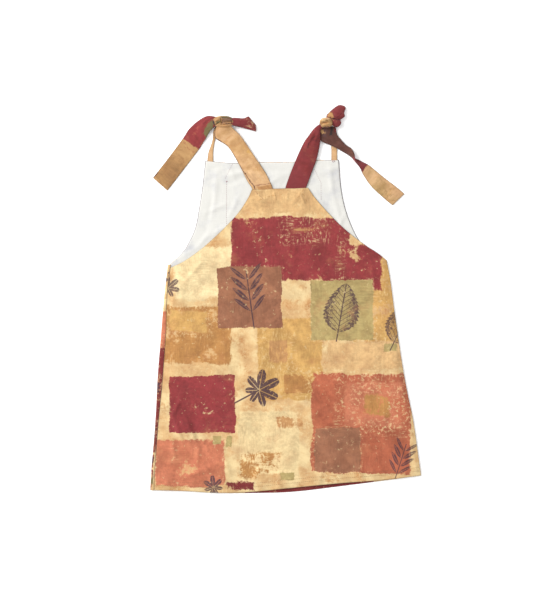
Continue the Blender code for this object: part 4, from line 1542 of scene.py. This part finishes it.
RIGHT_TAIL_PATCHES = table(
    Patch,
    (4, 118, 12, 16, 10, "dull olive", 24, 1),
    (-8, 82, 6, 12, 0, "dull olive", 14, 0.9),
    (0, 12, 60, 64, 10, "strap red", 6, 0.9),
    (0, 6, 60, 56, 0, "tie brown", 14, 0.8),
    (-4, 9, 7, 10, 10, "tie plum", 11, 0.7),
    (1.5, 7, 2, 6, 8, "near black", 1.8, 0.9),
    (7, 3, 3.4, 4.5, 0, "deep red", 2, 0.7),
    (-7.4, 4, 2.2, 7, -24, "strap tan", 1.2, 0.6),
)
RIGHT_LOOP_PATCHES = table(
    Patch,
    (-5, 9.6, 5, 5.6, 24, "tan", 3, 0.9),
    # Painted shade: dark lines for the shadows in the loop's creases.
    (1, 10.6, 7, 1.4, 39, "dark crimson", 1.4, 0.8),
    (1, 4.6, 7, 1, -6, "dark crimson", 1.4, 0.8),
    (2, 18, 1.2, 6, -8, "dark crimson", 1.8, 0.9),
    (7, 14, 3, 4, 0, "deep red", 3, 0.9),
)
LEFT_KNOT_PATCHES = table(
    Patch,
    (-7, 1, 8, 6.6, 0, "tail brown", 3, 0.9),
    (5.5, 0.8, 8, 5.6, 0, "knot brown", 2.6, 0.9),
    (7, -1.2, 5, 1.6, -12, "tan", 2, 0.9),
    (4.6, 5.6, 9, 2, -4, "dull olive", 1.6, 0.7),
    (12.4, -1, 1.4, 7, 0, "tail olive", 1.2, 0.7),
    # Painted shade: a brown line where the strap comes out from under the knot.
    (0, -4.9, 11, 0.7, 3, "brown", 1, 0.8),
    (-6.6, -0.8, 3.4, 2, 10, "dull olive", 1.6, 0.7),
    # Painted shade: near black in the crease at the knot's left, and a dark line between its wraps.
    (-12.6, -3, 2.6, 6, 14, "near black", 1.6, 0.7),
    (-1, 1.4, 0.8, 5, 6, "dark brown", 1, 0.7),
)
RIGHT_KNOT_PATCHES = table(
    Patch,
    (0, -1, 12, 9, 0, "tail tan", 6, 0.9),
    (3, -5.8, 7, 2, 10, "tie brown", 2, 0.8),
    # Painted shade: ochre and a dark brown line in the knot's hollow fold.
    (-2.4, -0.4, 5.4, 2.1, -6, "ochre", 2, 0.7),
    (-3.2, -0.2, 4.6, 0.9, -6, "dark brown", 1.2, 0.7),
    # Painted highlight: pale cream on the top of the wrap. Below it is painted shade along the knot's left
    # outline.
    (-1, 3.6, 5, 1.8, 8, "cream", 3, 0.9),
    (-7.8, -2, 1.4, 4.4, 20, "dark brown", 1.4, 0.7),
)


def set_studio():
    """A pale floor, soft light from all round, a soft lamp at the upper left, and a camera above."""
    world = bpy.data.worlds.new("studio")
    world.use_nodes = True
    background = world.node_tree.nodes["Background"]
    background.inputs["Color"].default_value = (1.0, 1.0, 1.0, 1.0)
    background.inputs["Strength"].default_value = WORLD_STRENGTH
    scene = bpy.context.scene
    scene.world = world
    scene.view_settings.view_transform = "Standard"

    lamp_data = bpy.data.lights.new("soft lamp", "AREA")
    lamp_data.shape = "SQUARE"
    lamp_data.size = LAMP_SIZE
    lamp_data.energy = LAMP_WATTS
    lamp = bpy.data.objects.new("soft lamp", lamp_data)
    lamp_place = Vector(LAMP_PLACE)
    lamp_turn = (-lamp_place).to_track_quat("-Z", "Y").to_matrix().to_4x4()
    lamp.matrix_world = Matrix.Translation(lamp_place) @ lamp_turn
    scene.collection.objects.link(lamp)

    floor_mesh = bmesh.new()
    bmesh.ops.create_grid(floor_mesh, x_segments=1, y_segments=1, size=FLOOR_HALF_SIZE)
    bmesh.ops.translate(floor_mesh, verts=floor_mesh.verts[:], vec=(0.0, 0.0, -FLOOR_DROP))
    mesh = bpy.data.meshes.new("floor")
    floor_mesh.to_mesh(mesh)
    floor_mesh.free()
    material, nodes, shader = new_material("studio floor")
    place = nodes.add("ShaderNodeTexCoord").outputs["Object"]
    tone = nodes.noise(place, 3.0, 2.0)
    colour = nodes.blend(tone, (0.96, 0.96, 0.96, 1.0), (0.98, 0.98, 0.98, 1.0))
    nodes.feed(shader.inputs["Base Color"], colour)
    shader.inputs["Roughness"].default_value = 0.9
    mesh.materials.append(material)
    floor = bpy.data.objects.new("floor", mesh)
    scene.collection.objects.link(floor)

    camera_data = bpy.data.cameras.new("camera")
    camera_data.sensor_fit = "VERTICAL"
    camera_data.sensor_height = SENSOR_HEIGHT
    camera_data.lens = SENSOR_HEIGHT * CAMERA_PLACE[2] / VIEW_HEIGHT
    camera = bpy.data.objects.new("camera", camera_data)
    camera.matrix_world = Matrix.Translation(CAMERA_PLACE)
    scene.collection.objects.link(camera)
    scene.camera = camera


# Cottons of the panels and ties, each with how dark the painted shade at its turned edges is
Cotton = namedtuple("Cotton", "ground patches leaves flecks edge_tone", defaults=((), False, 1.0))

COTTONS = {
    "front print": Cotton(FRONT_GROUND, FRONT_PATCHES, FRONT_LEAVES, flecks=True, edge_tone=0.6),
    "back print": Cotton(BACK_GROUND, BACK_PATCHES, BACK_LEAVES, flecks=True),
    "left strap": Cotton(STRAP_GROUND, LEFT_STRAP_PATCHES, edge_tone=0.6),
    "left tail": Cotton(LEFT_TAIL_GROUND, LEFT_TAIL_PATCHES, edge_tone=0.6),
    "left loop": Cotton(RED_GROUND, LEFT_LOOP_PATCHES, flecks=True, edge_tone=0.7),
    "right strap": Cotton(RED_GROUND, RIGHT_STRAP_PATCHES, edge_tone=0.65),
    "right tail": Cotton(RIGHT_TAIL_GROUND, RIGHT_TAIL_PATCHES, edge_tone=0.6),
    "right loop": Cotton(RED_GROUND, RIGHT_LOOP_PATCHES, edge_tone=0.65),
    "back loop": Cotton(STRAP_GROUND, (), edge_tone=0.5),
    "left knot": Cotton(STRAP_GROUND, LEFT_KNOT_PATCHES),
    "right knot": Cotton(STRAP_GROUND, RIGHT_KNOT_PATCHES),
}

# The straps, tails and loops, each with the width of its flattened tube
Tie = namedtuple("Tie", "node rows thickness cotton slot creases flat_width")
TIES = table(
    Tie,
    ("left_front_strap", LEFT_STRAP, TURNED_TUBE, "left strap", TAN_SLOT, LEFT_STRAP_CREASES, 24.5),
    ("right_front_strap", RIGHT_STRAP, TURNED_TUBE, "right strap", CRIMSON_SLOT, RIGHT_STRAP_CREASES, 24.5),
    ("left_long_tail", LEFT_LONG_TAIL, TURNED_TUBE, "left tail", TAN_SLOT, LEFT_TAIL_CREASES, 24.5),
    ("right_long_tail", RIGHT_LONG_TAIL, TURNED_TUBE, "right tail", TAN_SLOT, RIGHT_TAIL_CREASES, 20.0),
    ("left_short_loop", LEFT_SHORT_LOOP, FOLDED_TUBE, "left loop", CRIMSON_SLOT, LEFT_LOOP_CREASES, 14.0),
    ("right_short_loop", RIGHT_SHORT_LOOP, FOLDED_TUBE, "right loop", CRIMSON_SLOT, RIGHT_LOOP_CREASES, 17.0),
    ("left_back_loop", LEFT_BACK_LOOP, NARROW_TUBE, "back loop", TAN_SLOT, (), 5.6),
    ("right_back_loop", RIGHT_BACK_LOOP, NARROW_TUBE, "back loop", TAN_SLOT, (), 7.4),
)
TiedKnot = namedtuple("TiedKnot", "node knot folds cotton flat")
KNOTS = table(
    TiedKnot,
    ("left_knot", LEFT_KNOT, LEFT_KNOT_FOLDS, "left knot", (0.024, 0.038)),
    ("right_knot", RIGHT_KNOT, RIGHT_KNOT_FOLDS, "right knot", (0.024, 0.024)),
)


def main():
    cottons = {name: painted_cotton(f"{name} cotton", *cotton) for name, cotton in COTTONS.items()}
    back = back_panel(cottons["back print"])
    lining = back_lining(lining_cotton())
    front = front_panel(cottons["front print"])
    hem = front_hem_stitches(thread_material("tan thread", "thread tan"))
    seams = lining_stitches(thread_material("pink thread", "pink"))
    for tie in TIES:
        tube, length = cloth_tube(tie, cottons[tie.cotton])
    for tied in KNOTS:
        knot_cloth(tied, cottons[tied.cotton])
    set_studio()


main()
